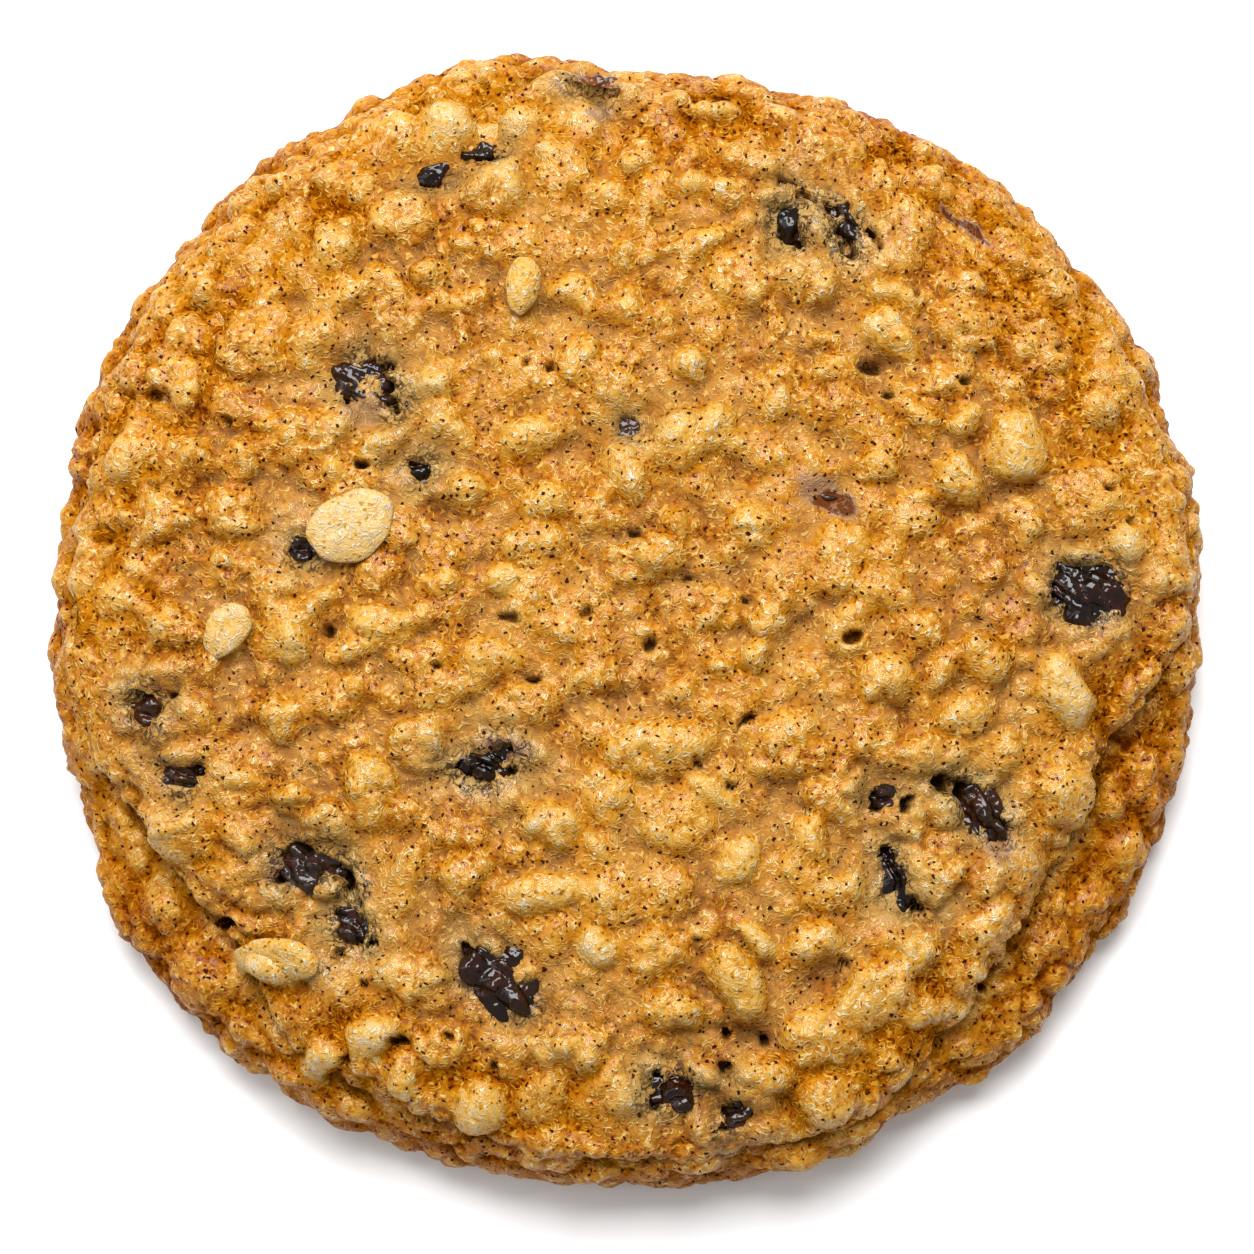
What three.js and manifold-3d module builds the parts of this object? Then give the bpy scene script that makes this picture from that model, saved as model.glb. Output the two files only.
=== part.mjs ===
// An oatmeal raisin cookie: one dough solid with its oat flakes and lumps as relief, and its raisins set in pockets.
// Millimetres, +Z up, flat underside on z = 0, origin under the middle of the cookie's box.
import * as THREE from "three";
import { mergeVertices } from "three/addons/utils/BufferGeometryUtils.js";
import Module from "manifold-3d";

const wasm = await Module();
wasm.setup();

// Driving dimensions.
const crownHeight = 14.2; // top of the dough before its lumps
const crustEdgeHeight = 9.4; // level of the upper crust's edge, where there is a step under it
const creaseDrop = 1.5; // the crease between the crust and the foot is this much lower
const edgeSway = 0.9; // the crust's edge rises and falls by this much round the cookie
const footHeight = 3.4; // widest level of the foot
const bottomInset = 2.6; // the flat underside stops this far inside the foot
const middleX = -0.1; // middle of the outline, from the point that the radii below start at
const middleY = 0.8;

// The side's section: insets from the crust's edge or the foot, and heights from a level named above.
const shoulder = { inset: 4.5, drop: 1.6 }; // where the top's curve ends, under the crown
const brow = { inset: 1.9, drop: 2.5 }; // where the side starts to fall
const lip = { inset: 0.5, rise: 1.1 }; // the crust just above its edge
const creaseInset = 0.7;
const creaseSway = 0.4;
const ledge = [
  { share: 0.25, rise: 0.3 }, // of the way from the crust's edge to the foot, from the crease's level
  { share: 0.65, rise: -0.5 },
];
const footTop = { inset: 0.8, rise: 2.0 };
const footUnder = { inset: 0.6, drop: 1.9 };
const hem = { inset: 1.5, height: 0.25 }; // just above the underside
const roundedShares = [0.25, 0.45, 0.62, 0.77, 0.89, 0.97]; // of the way from brow to foot, without a step

// Where the crust stands over the foot in a step: the turns where that starts, is whole, is whole to and ends.
const faintStep = 0.08;
const steps = [
  { start: 0.52, full: 0.57, fullEnd: 0.67, end: 0.72, share: 0.92 },
  { start: 0.67, full: 0.72, fullEnd: 0.77, end: 0.82, share: 0.4 },
  { start: 0.77, full: 0.82, fullEnd: 0.95, end: 1.0, share: 0.92 },
];

// Radii every 10 degrees, anticlockwise from +X: the foot's outline, and the edge of the crust on top of it.
const footRadii = [
  49.0, 50.4, 50.1, 50.5, 49.5, 50.2, 49.3, 48.6, 48.4, 48.3, 50.5, 51.2, 50.6, 51.1, 50.3, 50.9, 50.5, 49.5,
  49.8, 50.0, 49.9, 51.1, 50.9, 50.0, 49.8, 49.1, 48.7, 48.6, 48.7, 49.0, 48.5, 49.7, 49.5, 49.4, 49.5, 49.7,
];
const crustRadii = [
  46.6, 47.2, 45.8, 46.9, 46.0, 45.4, 44.7, 44.2, 43.8, 43.2, 44.8, 45.4, 45.6, 45.7, 45.5, 45.5, 45.5, 44.4,
  45.3, 45.3, 45.2, 43.8, 43.2, 45.2, 46.2, 45.6, 45.4, 46.4, 45.4, 46.9, 46.9, 43.9, 42.9, 42.1, 42.5, 43.8,
];

// Oat flakes on the crust: x, y, half length, half width, direction in degrees, height.
const flakes = [
  [-23.2, 6.9, 3.8, 2.9, 20, 1.5],
  [-20.3, -1.8, 3.3, 2.6, -15, 1.6],
  [-33.6, -1.8, 2.4, 1.9, 60, 1.4],
  [-28.6, -2.2, 3.2, 2.6, -20, 1.6],
  [-21.2, -15.2, 3.5, 3.0, 100, 2.0],
  [-6.6, -18.4, 3.0, 2.6, -40, 2.0],
  [-6.8, -24.2, 4.1, 1.9, 5, 1.7],
  [-10.5, 3.0, 2.3, 1.6, 0, 1.3],
  [-8.2, 14.4, 3.1, 2.1, 10, 1.5],
  [-17.0, 19.3, 2.7, 2.2, 35, 1.4],
  [22.0, 23.2, 3.0, 2.4, -30, 2.0],
  [33.0, 13.8, 3.5, 2.6, 115, 2.1],
  [27.8, 11.3, 2.9, 2.7, 0, 2.0],
  [21.5, -6.3, 3.2, 2.4, 20, 1.8],
  [6.2, -14.9, 2.4, 1.3, -25, 1.2],
  [9.2, -21.2, 2.8, 2.0, 60, 1.6],
  [9.0, -31.5, 4.0, 2.4, -55, 2.0],
  [37.0, -6.5, 3.6, 2.3, -75, 2.0],
  [-29.3, -29.4, 3.9, 1.7, -8, 2.0],
  [-21.3, -35.6, 2.5, 1.8, 20, 1.7],
  [-12.4, -41.3, 2.8, 2.4, 30, 1.8],
  [-2.4, -28.1, 2.2, 1.7, -20, 1.5],
  [7.5, 42.2, 2.7, 1.5, 10, 1.4],
  [-15.5, 41.3, 2.8, 2.2, 15, 1.6],
  [-8.8, 27.4, 2.6, 1.4, 80, 1.8],
  [11.0, -28.4, 2.2, 1.4, -35, 1.6],
  [28.3, 16.2, 2.0, 1.5, 20, 1.6],
  [-25.8, -37.5, 2.3, 1.5, 15, 1.6],
  [5.8, 36.5, 1.9, 1.3, 30, 1.5],
  [21.8, 26.8, 2.2, 1.3, 20, 1.6],
  [42.0, 5.5, 1.6, 1.4, 0, 1.4],
];

// Lumps of dough on the crust, in the same terms.
const lumps = [
  [28.8, 24.0, 4.1, 3.4, 0, 1.9],
  [4.8, 14.4, 4.8, 2.7, 15, 2.0],
  [4.0, -17.4, 3.8, 3.3, 0, 1.5],
  [3.4, -33.4, 3.0, 2.7, 0, 1.7],
  [15.8, -28.2, 3.0, 2.3, 20, 1.8],
  [16.4, -35.6, 3.4, 3.4, 0, 1.8],
  [30.2, -4.4, 3.1, 2.3, -10, 1.7],
  [36.6, -15.2, 3.6, 3.0, 80, 1.4],
  [-5.3, -37.0, 4.6, 2.8, -10, 1.9],
  [-38.4, -1.3, 3.1, 2.5, 0, 1.4],
  [-37.0, -8.9, 2.4, 2.1, 0, 1.3],
  [-29.0, -9.2, 2.5, 2.0, 0, 1.4],
  [-37.6, -18.4, 4.1, 3.3, -10, 1.8],
  [-25.3, -17.8, 2.7, 2.4, 0, 1.7],
  [-41.2, 12.9, 3.2, 2.4, 20, 1.4],
  [-39.5, 7.6, 3.3, 2.5, 0, 1.4],
  [-33.4, 8.4, 3.3, 2.7, 0, 1.5],
  [-28.7, 14.9, 3.4, 2.8, 10, 1.6],
  [-32.0, 22.6, 3.4, 2.6, -15, 1.5],
  [-11.5, 36.5, 3.3, 2.9, 0, 1.7],
  [-28.5, 37.0, 2.6, 2.2, 40, 1.4],
  [6.2, 31.5, 3.2, 1.7, 15, 1.5],
  [15.0, 28.6, 3.6, 2.8, 0, 1.6],
  [1.6, 4.4, 4.0, 2.5, 15, 1.7],
  [10.2, 7.0, 3.2, 2.6, 0, 1.3],
  [24.0, 7.7, 2.8, 2.6, 0, 1.4],
  [12.0, -0.9, 2.5, 2.2, 0, 1.5],
  [2.2, -11.8, 5.4, 2.6, 8, 1.7],
  [13.0, -11.6, 4.2, 3.2, 35, 1.5],
  [17.4, -16.2, 2.8, 2.4, 0, 1.5],
  [25.6, -22.2, 2.8, 2.4, 0, 1.5],
  [25.4, -12.2, 3.8, 2.0, 20, 1.5],
  [20.6, -32.6, 4.4, 3.0, 30, 1.7],
  [30.0, -26.6, 3.8, 3.1, 40, 1.6],
  [-8.0, -8.2, 3.3, 2.3, 0, 1.5],
  [-17.4, -11.4, 3.2, 2.5, -30, 1.5],
  [-18.0, -30.6, 3.8, 2.6, -15, 1.5],
];

// Lumps on the rim: x, y, z, half length along the rim, half height, how far it stands out.
const rimLumps = [
  [46.8, 7.0, 8.2, 3.0, 2.4, 1.4],
  [46.2, 1.0, 9.4, 2.2, 1.9, 1.2],
  [47.4, -5.0, 7.4, 3.2, 2.4, 1.4],
  [46.4, 12.0, 8.6, 2.6, 2.2, 1.2],
  [44.4, -14.6, 7.2, 3.2, 2.2, 1.3],
  [42.6, -20.6, 7.0, 3.0, 2.2, 1.3],
  [37.6, -30.2, 5.4, 2.8, 2.2, 1.2],
  [31.0, -36.0, 5.6, 4.2, 2.0, 1.2],
  [15.0, -46.0, 7.4, 3.2, 2.4, 1.5],
  [-11.6, -46.8, 5.0, 4.2, 1.8, 1.0],
  [-33.0, -37.6, 4.6, 3.6, 2.2, 1.3],
  [-36.6, -31.6, 6.8, 3.6, 2.6, 1.4],
  [-39.8, -24.4, 7.4, 2.8, 2.4, 1.5],
  [-45.0, -22.6, 4.6, 2.8, 2.2, 1.2],
  [-47.4, -11.6, 5.2, 3.2, 2.2, 1.2],
  [-48.0, 3.6, 5.8, 3.4, 2.4, 1.2],
  [-46.8, 14.0, 5.6, 3.2, 2.4, 1.2],
];

// Broad hollows between the lumps: x, y, half length, half width, direction, depth.
const hollows = [
  [8.6, 10.6, 3.4, 1.5, 20, 1.9],
  [-3.4, 12.6, 2.6, 2.2, -20, 1.4],
  [-15.8, 7.4, 2.6, 1.8, -10, 1.5],
  [14.2, -2.6, 3.2, 1.4, 60, 1.5],
  [-1.6, -8.2, 4.4, 1.6, 25, 1.5],
  [-27.6, 9.0, 2.4, 1.6, 0, 1.7],
  [-25.2, -1.4, 1.9, 2.2, 0, 1.5],
  [32.2, 9.8, 3.2, 1.1, 10, 1.9],
  [26.2, 8.0, 2.4, 0.9, -15, 1.5],
  [16.8, 24.6, 2.6, 1.6, 10, 1.3],
  [20.6, 20.4, 2.2, 1.0, -10, 1.3],
  [10.4, -35.6, 4.0, 1.4, -15, 1.8],
  [16.4, -31.2, 3.0, 1.0, 20, 1.5],
  [-5.0, 24.6, 3.4, 1.3, -15, 1.3],
  [-32.4, -9.8, 2.2, 1.8, 0, 1.3],
  [31.8, -15.2, 1.6, 3.0, -20, 1.2],
  [22.4, -9.8, 3.0, 1.2, 25, 1.2],
  [14.0, -42.0, 1.8, 3.0, 20, 1.6],
  [-28.6, 26.0, 2.2, 1.4, 0, 1.2],
];

// Raisins: x, y, half length, half width, direction, how far it stands out of the dough round it.
const raisins = [
  [-3.1, 45.0, 2.9, 1.5, 5, 0.7],
  [-12.3, 39.2, 2.0, 1.3, 0, 0.5],
  [-17.0, 37.8, 2.4, 1.4, 10, 0.5],
  [14.0, 32.9, 2.1, 1.9, 60, 0.7],
  [19.0, 33.3, 2.7, 1.5, -50, 0.6],
  [28.5, 32.4, 3.0, 1.5, -35, 0.4],
  [-22.2, 19.0, 3.3, 2.6, -25, 0.6],
  [-17.3, 11.9, 1.7, 1.5, 0, 0.3],
  [0.1, 15.2, 1.7, 1.4, 0, 0.3],
  [16.9, 9.4, 3.1, 1.9, -15, 0.6],
  [-27.7, 5.2, 1.8, 1.6, 0, 0.5],
  [-40.1, -8.6, 2.3, 1.9, -20, 0.6],
  [-37.5, -13.8, 2.6, 1.9, -15, 0.6],
  [-11.9, -13.0, 3.0, 2.2, -20, 0.6],
  [38.9, 1.6, 4.0, 3.4, -30, 0.9],
  [29.8, -17.1, 3.6, 2.1, -62, 0.9],
  [22.6, -22.6, 3.4, 1.5, -58, 0.5],
  [-26.4, -22.0, 3.2, 2.4, -25, 0.7],
  [-22.8, -26.6, 2.7, 1.9, -35, 0.6],
  [-10.8, -31.0, 4.5, 2.8, -42, 1.0],
  [4.1, -40.4, 2.6, 2.0, 10, 0.7],
  [9.8, -42.2, 2.3, 1.7, 35, 0.6],
  [21.6, -15.9, 1.5, 1.3, 0, 0.3],
];
const raisinDepth = 2.1; // half thickness of a raisin, or its half width where that is less
const raisinFolds = { count: 5, twist: 2.1, depth: 0.07 }; // lengthwise, as a share of its width
const raisinDents = { count: 6, shift: 1.7, depth: 0.05 }; // across, as a share of its length
const largeRaisin = 3.1; // a half length from which a raisin has finer faces
const raisinHollow = { margin: 1.2, depth: 0.9 }; // the dough dips this far round a raisin
const pocketGap = 0.3;

// Lumps and hollows reach this far through the dough's surface, fall this steeply and keep this apart.
const moundDepth = 3.2;
const moundRoundness = 0.7;
const hollowSpread = 1.6;
const spacing = 0.58;
const flatBelow = 0.3; // relief starts here and is whole at the next height: the underside stays flat
const wholeAbove = 2.7;

// Random lumps fill the rest of the crust and the whole rim: each range is drawn from evenly.
const filler = { tries: 420, reach: 1.04, size: [2.0, 3.8], direction: [-30, 60], height: [0.9, 1.6] };
const fillerWidth = [0.7, 1];
const fillerDepth = 3;
const rimFiller = { tries: 420, from: 0.12, span: 0.74, size: [2.0, 4.2], standOut: [0.7, 1.4], slimness: 0.75 };
const rimWidth = 0.9; // of a rim lump's length

const crustRings = 25; // rings of triangles from the middle to the shoulder
const sideRows = 11; // one for each stretch of the section
const sidePerShare = 2.2; // beyond the shoulder the plan is read on the side, as far as sideReach
const sideReach = 0.3;

let seed = 20417;
function random() {
  seed = (seed * 16807) % 2147483647;
  return seed / 2147483647;
}

const between = ([low, high]) => low + (high - low) * random();
const clamp = (value, low, high) => Math.min(Math.max(value, low), high);

// 0 at low, 1 at high and a smooth ease between.
function ease(low, high, value) {
  const t = clamp((value - low) / (high - low), 0, 1);
  return t * t * (3 - 2 * t);
}

// Catmull-Rom value through a ring of radii, at an angle in turns.
function ringRadius(radii, turn) {
  const place = (((turn % 1) + 1) % 1) * radii.length;
  const i = Math.floor(place);
  const t = place - i;
  const [a, b, c, d] = [-1, 0, 1, 2].map((step) => radii[(i + step + radii.length) % radii.length]);
  return b + 0.5 * t * (c - a + t * (2 * a - 5 * b + 4 * c - d + t * (3 * (b - c) + d - a)));
}

// An uneven wave round the rim, from -1 to 1.
function sway(turn, shift) {
  const angle = 2 * Math.PI * turn;
  return 0.6 * Math.sin(3 * angle + shift) + 0.4 * Math.sin(8 * angle + 2.3 * shift);
}

// How much of a step there is between the crust and the foot, from 0 to 1.
function stepShare(turn) {
  const at = ((turn % 1) + 1) % 1;
  const rising = ({ start, full }) => ease(start, full, at);
  const falling = ({ fullEnd, end }) => 1 - ease(fullEnd, end, at);
  return steps.reduce((sum, one) => sum + one.share * rising(one) * falling(one), faintStep);
}

// The section at one angle, as radius and height from the shoulder down to the flat underside.
// Without the step its side is a quarter of an ellipse, from the brow down to the foot.
function sectionPoints(turn) {
  const foot = ringRadius(footRadii, turn);
  const crust = ringRadius(crustRadii, turn);
  const edge = crustEdgeHeight + edgeSway * sway(turn, 0.7);
  const crease = edge - creaseDrop;
  const start = crust - brow.inset;
  const fall = crownHeight - brow.drop - footHeight;
  const stepped = [
    [crust - lip.inset, edge + lip.rise],
    [crust, edge],
    [crust - creaseInset - creaseSway * sway(turn, 3.9), crease],
    ...ledge.map(({ share, rise }) => [crust + share * (foot - crust), crease + rise]),
    [foot - footTop.inset, footHeight + footTop.rise],
  ];
  const rounded = roundedShares.map((share) => [
    start + share * (foot - start),
    footHeight + fall * Math.sqrt(1 - share * share),
  ]);
  const step = stepShare(turn);
  const side = stepped.map((point, i) => point.map((value, k) => value * step + rounded[i][k] * (1 - step)));
  return [
    [crust - shoulder.inset, crownHeight - shoulder.drop],
    [start, crownHeight - brow.drop],
    ...side,
    [foot, footHeight],
    [foot - footUnder.inset, footHeight - footUnder.drop],
    [foot - hem.inset, hem.height],
    [foot - bottomInset, 0],
  ];
}

// A point of the section at t from 0 to 1, on straight runs between its points taken by their number.
function sideSection(turn, t) {
  const points = sectionPoints(turn);
  const place = clamp(t, 0, 1) * (points.length - 1);
  const i = Math.min(Math.floor(place), points.length - 2);
  return points[i].map((value, k) => value + (points[i + 1][k] - value) * (place - i));
}

// The bare dough: share is 0 in the middle and 1 at the shoulder, and side runs 0 to 1 from there to the underside.
function barePoint(turn, share, side) {
  const [[shoulderRadius, shoulderHeight]] = sectionPoints(turn);
  let radius = shoulderRadius * share;
  let height = crownHeight + (shoulderHeight - crownHeight) * share ** 3;
  if (side > 0) {
    [radius, height] = sideSection(turn, side);
  }
  const angle = turn * 2 * Math.PI;
  return new THREE.Vector3(radius * Math.cos(angle), radius * Math.sin(angle), height);
}

function bareNormal(turn, share, side) {
  const step = 0.004;
  const lowSide = side > 0 ? Math.max(side - step, 0.001) : 0;
  const inner = side > 0 ? barePoint(turn, 1, lowSide) : barePoint(turn, Math.max(share - step, 0), 0);
  const outer = side > 0 ? barePoint(turn, 1, side + step) : barePoint(turn, share + step, 0);
  const angle = turn * 2 * Math.PI;
  const down = outer.sub(inner);
  const radial = down.x * Math.cos(angle) + down.y * Math.sin(angle);
  return new THREE.Vector3(-down.z * Math.cos(angle), -down.z * Math.sin(angle), radial).normalize();
}

// Where a point of the plan lies on the bare crust.
function onCrust(x, y) {
  const turn = Math.atan2(y, x) / (2 * Math.PI);
  const [[shoulderRadius]] = sectionPoints(turn);
  const share = Math.hypot(x, y) / shoulderRadius;
  if (share <= 1) {
    return barePoint(turn, share, 0);
  }
  return barePoint(turn, 1, Math.min((share - 1) * sidePerShare, sideReach));
}

function mound([x, y, length, width, direction, height], deep) {
  const angle = THREE.MathUtils.degToRad(direction);
  return { at: onCrust(x, y), length, width, deep, cos: Math.cos(angle), sin: Math.sin(angle), height };
}

// Squared distance from a mound's middle, 1 on its edge.
function reach(one, point) {
  const [dx, dy, dz] = [point.x - one.at.x, point.y - one.at.y, point.z - one.at.z];
  const along = (dx * one.cos + dy * one.sin) / one.length;
  const across = (dy * one.cos - dx * one.sin) / one.width;
  return along * along + across * across + (dz / one.deep) ** 2;
}

const clear = (others, at, size) => others.every((one) => one.at.distanceTo(at) > spacing * (size + one.length));

const mounds = [...flakes, ...lumps].map((row) => mound(row, moundDepth));
rimLumps.forEach(([x, y, z, length, deep, height]) => {
  mounds.push(rimMound(new THREE.Vector3(x, y, z), length, deep, height));
});
const sinks = hollows.map((row) => mound(row, moundDepth));
const raisinSinks = raisins.map(([x, y, length, width, direction]) => {
  const { margin, depth } = raisinHollow;
  return mound([x, y, length + margin, width + margin, direction, depth], moundDepth);
});

function addFillers() {
  for (let i = 0; i < filler.tries; i++) {
    const turn = random();
    const share = Math.sqrt(random()) * filler.reach;
    const size = between(filler.size);
    const direction = between(filler.direction);
    const height = between(filler.height);
    const radius = share * sectionPoints(turn)[0][0];
    const angle = turn * 2 * Math.PI;
    const [x, y] = [radius * Math.cos(angle), radius * Math.sin(angle)];
    if (clear([...mounds, ...raisinSinks], onCrust(x, y), size)) {
      mounds.push(mound([x, y, size, size * between(fillerWidth), direction, height], fillerDepth));
    }
  }
}

// A mound on the rim, with its length along the rim.
function rimMound(at, length, deep, height) {
  const angle = Math.atan2(at.y, at.x);
  return { at, length, width: rimWidth * length, deep, cos: -Math.sin(angle), sin: Math.cos(angle), height };
}

function addRimLumps() {
  for (let i = 0; i < rimFiller.tries; i++) {
    const at = barePoint(random(), 1, rimFiller.from + rimFiller.span * random());
    const size = between(rimFiller.size);
    const height = between(rimFiller.standOut);
    if (clear(mounds, at, size)) {
      mounds.push(rimMound(at, size, rimFiller.slimness * size, height));
    }
  }
}

// How far the dough stands off its bare surface at a point.
function relief(point) {
  let rise = 0;
  for (const one of mounds) {
    rise = Math.max(rise, one.height * Math.max(0, 1 - reach(one, point)) ** moundRoundness);
  }
  for (const one of [...sinks, ...raisinSinks]) {
    rise -= one.height * Math.exp(-hollowSpread * reach(one, point));
  }
  return rise * ease(flatBelow, wholeAbove, point.z);
}

function doughPoint(turn, share, side) {
  const point = barePoint(turn, share, side);
  return point.clone().addScaledVector(bareNormal(turn, share, side), relief(point));
}

// The crust is a disc of rings with 6, 12, 18... corners, and the side goes on from its last ring down to a flat fan.
function doughGeometry() {
  const corners = [doughPoint(0, 0, 0)];
  const faces = [];
  const ringStart = (ring) => (ring === 0 ? 0 : 1 + 3 * ring * (ring - 1));
  for (let ring = 1; ring <= crustRings; ring++) {
    for (let j = 0; j < 6 * ring; j++) {
      corners.push(doughPoint(j / (6 * ring), ring / crustRings, 0));
    }
    for (let sector = 0; sector < 6; sector++) {
      const outer = (j) => ringStart(ring) + ((sector * ring + j) % (6 * ring));
      const inner = (j) => ringStart(ring - 1) + ((sector * (ring - 1) + j) % Math.max(6 * (ring - 1), 1));
      for (let j = 0; j < ring; j++) {
        faces.push(inner(j), outer(j), outer(j + 1));
        if (j < ring - 1) {
          faces.push(inner(j), outer(j + 1), inner(j + 1));
        }
      }
    }
  }
  const round = 6 * crustRings;
  for (let row = 1; row <= sideRows; row++) {
    const last = corners.length - round;
    for (let j = 0; j < round; j++) {
      corners.push(doughPoint(j / round, 1, row / sideRows));
      const next = (j + 1) % round;
      faces.push(last + j, last + round + j, last + round + next);
      faces.push(last + j, last + round + next, last + next);
    }
  }
  const rim = corners.length - round;
  corners.push(new THREE.Vector3(0, 0, 0));
  for (let j = 0; j < round; j++) {
    faces.push(corners.length - 1, rim + ((j + 1) % round), rim + j);
  }
  const geometry = new THREE.BufferGeometry().setFromPoints(corners);
  geometry.setIndex(faces);
  return geometry;
}

// A raisin: an ellipsoid with lengthwise folds, grown on all sides by extra.
function raisinGeometry([x, y, length, width, direction, standOut], index, extra) {
  const deep = Math.min(raisinDepth, width);
  const ground = doughHeight(x, y);
  const shape = new THREE.IcosahedronGeometry(1, length > largeRaisin ? 2 : 1);
  const corner = shape.getAttribute("position");
  for (let i = 0; i < corner.count; i++) {
    const [px, py, pz] = [corner.getX(i), corner.getY(i), corner.getZ(i)];
    const round = raisinFolds.count * Math.atan2(pz, py) + raisinFolds.twist * px;
    const fold = 1 - raisinFolds.depth * Math.cos(round + index);
    const dent = 1 - raisinDents.depth * Math.sin(raisinDents.count * px + raisinDents.shift * index);
    corner.setXYZ(i, px * (length * dent + extra), py * (width * fold + extra), pz * (deep * fold + extra));
  }
  shape.rotateZ(THREE.MathUtils.degToRad(direction));
  shape.translate(x, y, ground + standOut - deep);
  return shape;
}

function doughHeight(x, y) {
  const at = onCrust(x, y);
  return at.z + relief(at);
}

function solidOf(geometry) {
  const bare = geometry.clone();
  bare.deleteAttribute("normal");
  bare.deleteAttribute("uv");
  const merged = mergeVertices(bare, 1e-4);
  const vertProperties = merged.getAttribute("position").array;
  const triVerts = new Uint32Array(merged.index.array);
  return new wasm.Manifold(new wasm.Mesh({ numProp: 3, vertProperties, triVerts }));
}

function geometryOf(solid) {
  const { vertProperties, triVerts } = solid.getMesh();
  const geometry = new THREE.BufferGeometry();
  geometry.setAttribute("position", new THREE.BufferAttribute(vertProperties, 3));
  geometry.setIndex(new THREE.BufferAttribute(triVerts, 1));
  return geometry;
}

function namedMesh(name, geometry, material) {
  geometry.computeVertexNormals();
  const mesh = new THREE.Mesh(geometry, material);
  mesh.name = name;
  return mesh;
}

addFillers();
addRimLumps();

const doughMaterial = new THREE.MeshStandardMaterial({ color: 0xd79a45, roughness: 0.7, metalness: 0 });
const raisinMaterial = new THREE.MeshStandardMaterial({ color: 0x2a1414, roughness: 0.35, metalness: 0 });

const cookie = new THREE.Group();
cookie.position.set(-middleX, -middleY, 0);
let dough = solidOf(doughGeometry());
raisins.forEach((row, index) => {
  dough = dough.subtract(solidOf(raisinGeometry(row, index, pocketGap)));
  const name = `raisin_${String(index + 1).padStart(2, "0")}`;
  cookie.add(namedMesh(name, raisinGeometry(row, index, 0), raisinMaterial));
});
cookie.add(namedMesh("cookie", geometryOf(dough), doughMaterial));

export default cookie;
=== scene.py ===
import math
import bpy
import numpy as np
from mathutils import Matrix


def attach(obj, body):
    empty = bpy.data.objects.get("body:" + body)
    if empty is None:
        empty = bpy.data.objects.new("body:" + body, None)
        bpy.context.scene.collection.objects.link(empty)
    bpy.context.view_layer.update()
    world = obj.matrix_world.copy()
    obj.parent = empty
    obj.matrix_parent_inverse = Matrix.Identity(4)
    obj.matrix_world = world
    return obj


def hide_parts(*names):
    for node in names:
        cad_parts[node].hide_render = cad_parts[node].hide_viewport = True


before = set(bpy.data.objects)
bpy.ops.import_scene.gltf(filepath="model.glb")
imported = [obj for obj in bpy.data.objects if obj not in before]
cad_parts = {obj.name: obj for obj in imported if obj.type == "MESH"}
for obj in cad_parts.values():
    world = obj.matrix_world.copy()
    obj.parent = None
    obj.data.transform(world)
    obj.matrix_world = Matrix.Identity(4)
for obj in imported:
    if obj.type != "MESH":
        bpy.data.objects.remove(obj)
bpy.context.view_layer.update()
millimetre = 0.001

# The dough's section and outline, in millimetres, the same as in the solid.
dough = {
    "crownHeight": 14.2, "crustEdgeHeight": 9.4, "creaseDrop": 1.5, "edgeSway": 0.9, "footHeight": 3.4,
    "bottomInset": 2.6, "shift": (0.1, -0.8), "shoulder": (4.5, 1.6), "brow": (1.9, 2.5), "lip": (0.5, 1.1),
    "creaseInset": 0.7, "creaseSway": 0.4, "ledge": [(0.25, 0.3), (0.65, -0.5)], "footTop": (0.8, 2.0),
    "footUnder": (0.6, 1.9), "hem": (1.5, 0.25), "roundedShares": (0.25, 0.45, 0.62, 0.77, 0.89, 0.97),
    "faintStep": 0.08,
    "steps": [(0.52, 0.57, 0.67, 0.72, 0.92), (0.67, 0.72, 0.77, 0.82, 0.4), (0.77, 0.82, 0.95, 1.0, 0.92)],
    "footRadii": [
        49.0, 50.4, 50.1, 50.5, 49.5, 50.2, 49.3, 48.6, 48.4, 48.3, 50.5, 51.2, 50.6, 51.1, 50.3, 50.9, 50.5, 49.5,
        49.8, 50.0, 49.9, 51.1, 50.9, 50.0, 49.8, 49.1, 48.7, 48.6, 48.7, 49.0, 48.5, 49.7, 49.5, 49.4, 49.5, 49.7
    ],
    "crustRadii": [
        46.6, 47.2, 45.8, 46.9, 46.0, 45.4, 44.7, 44.2, 43.8, 43.2, 44.8, 45.4, 45.6, 45.7, 45.5, 45.5, 45.5, 44.4,
        45.3, 45.3, 45.2, 43.8, 43.2, 45.2, 46.2, 45.6, 45.4, 46.4, 45.4, 46.9, 46.9, 43.9, 42.9, 42.1, 42.5, 43.8
    ],
    "lastPoint": 11, "turnDown": (2.2, 0.3), "moundDeep": 3.2, "raisinSink": (1.2, 0.9), "fallOff": 1.6,
    "spread": 1.04, "apart": 0.58, "rimWide": 0.9, "seed": 20417,
}

# Seeded lumps between the tabled ones: how many are tried, and ranges of half length, direction, height or
# standing out. The rim's band is where they start on the section and how much of it they cover.
topFillers = {"tries": 420, "sizes": (2.0, 3.8), "directions": (-30, 60), "heights": (0.9, 1.6), "narrow": 0.7,
              "deep": 3}
rimFillers = {"tries": 420, "band": (0.12, 0.74), "sizes": (2.0, 4.2), "heights": (0.7, 1.4), "tall": 0.75}
topKnobs = {"tries": 3000, "sizes": (0.9, 2.2), "directions": (-90, 90), "heights": (0.2, 0.52), "narrow": 0.65,
            "deep": 3.5}
rimKnobs = {"tries": 1600, "band": (0.1, 0.78), "sizes": (1.0, 2.3), "heights": (0.25, 0.6), "tall": 0.8}

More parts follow.
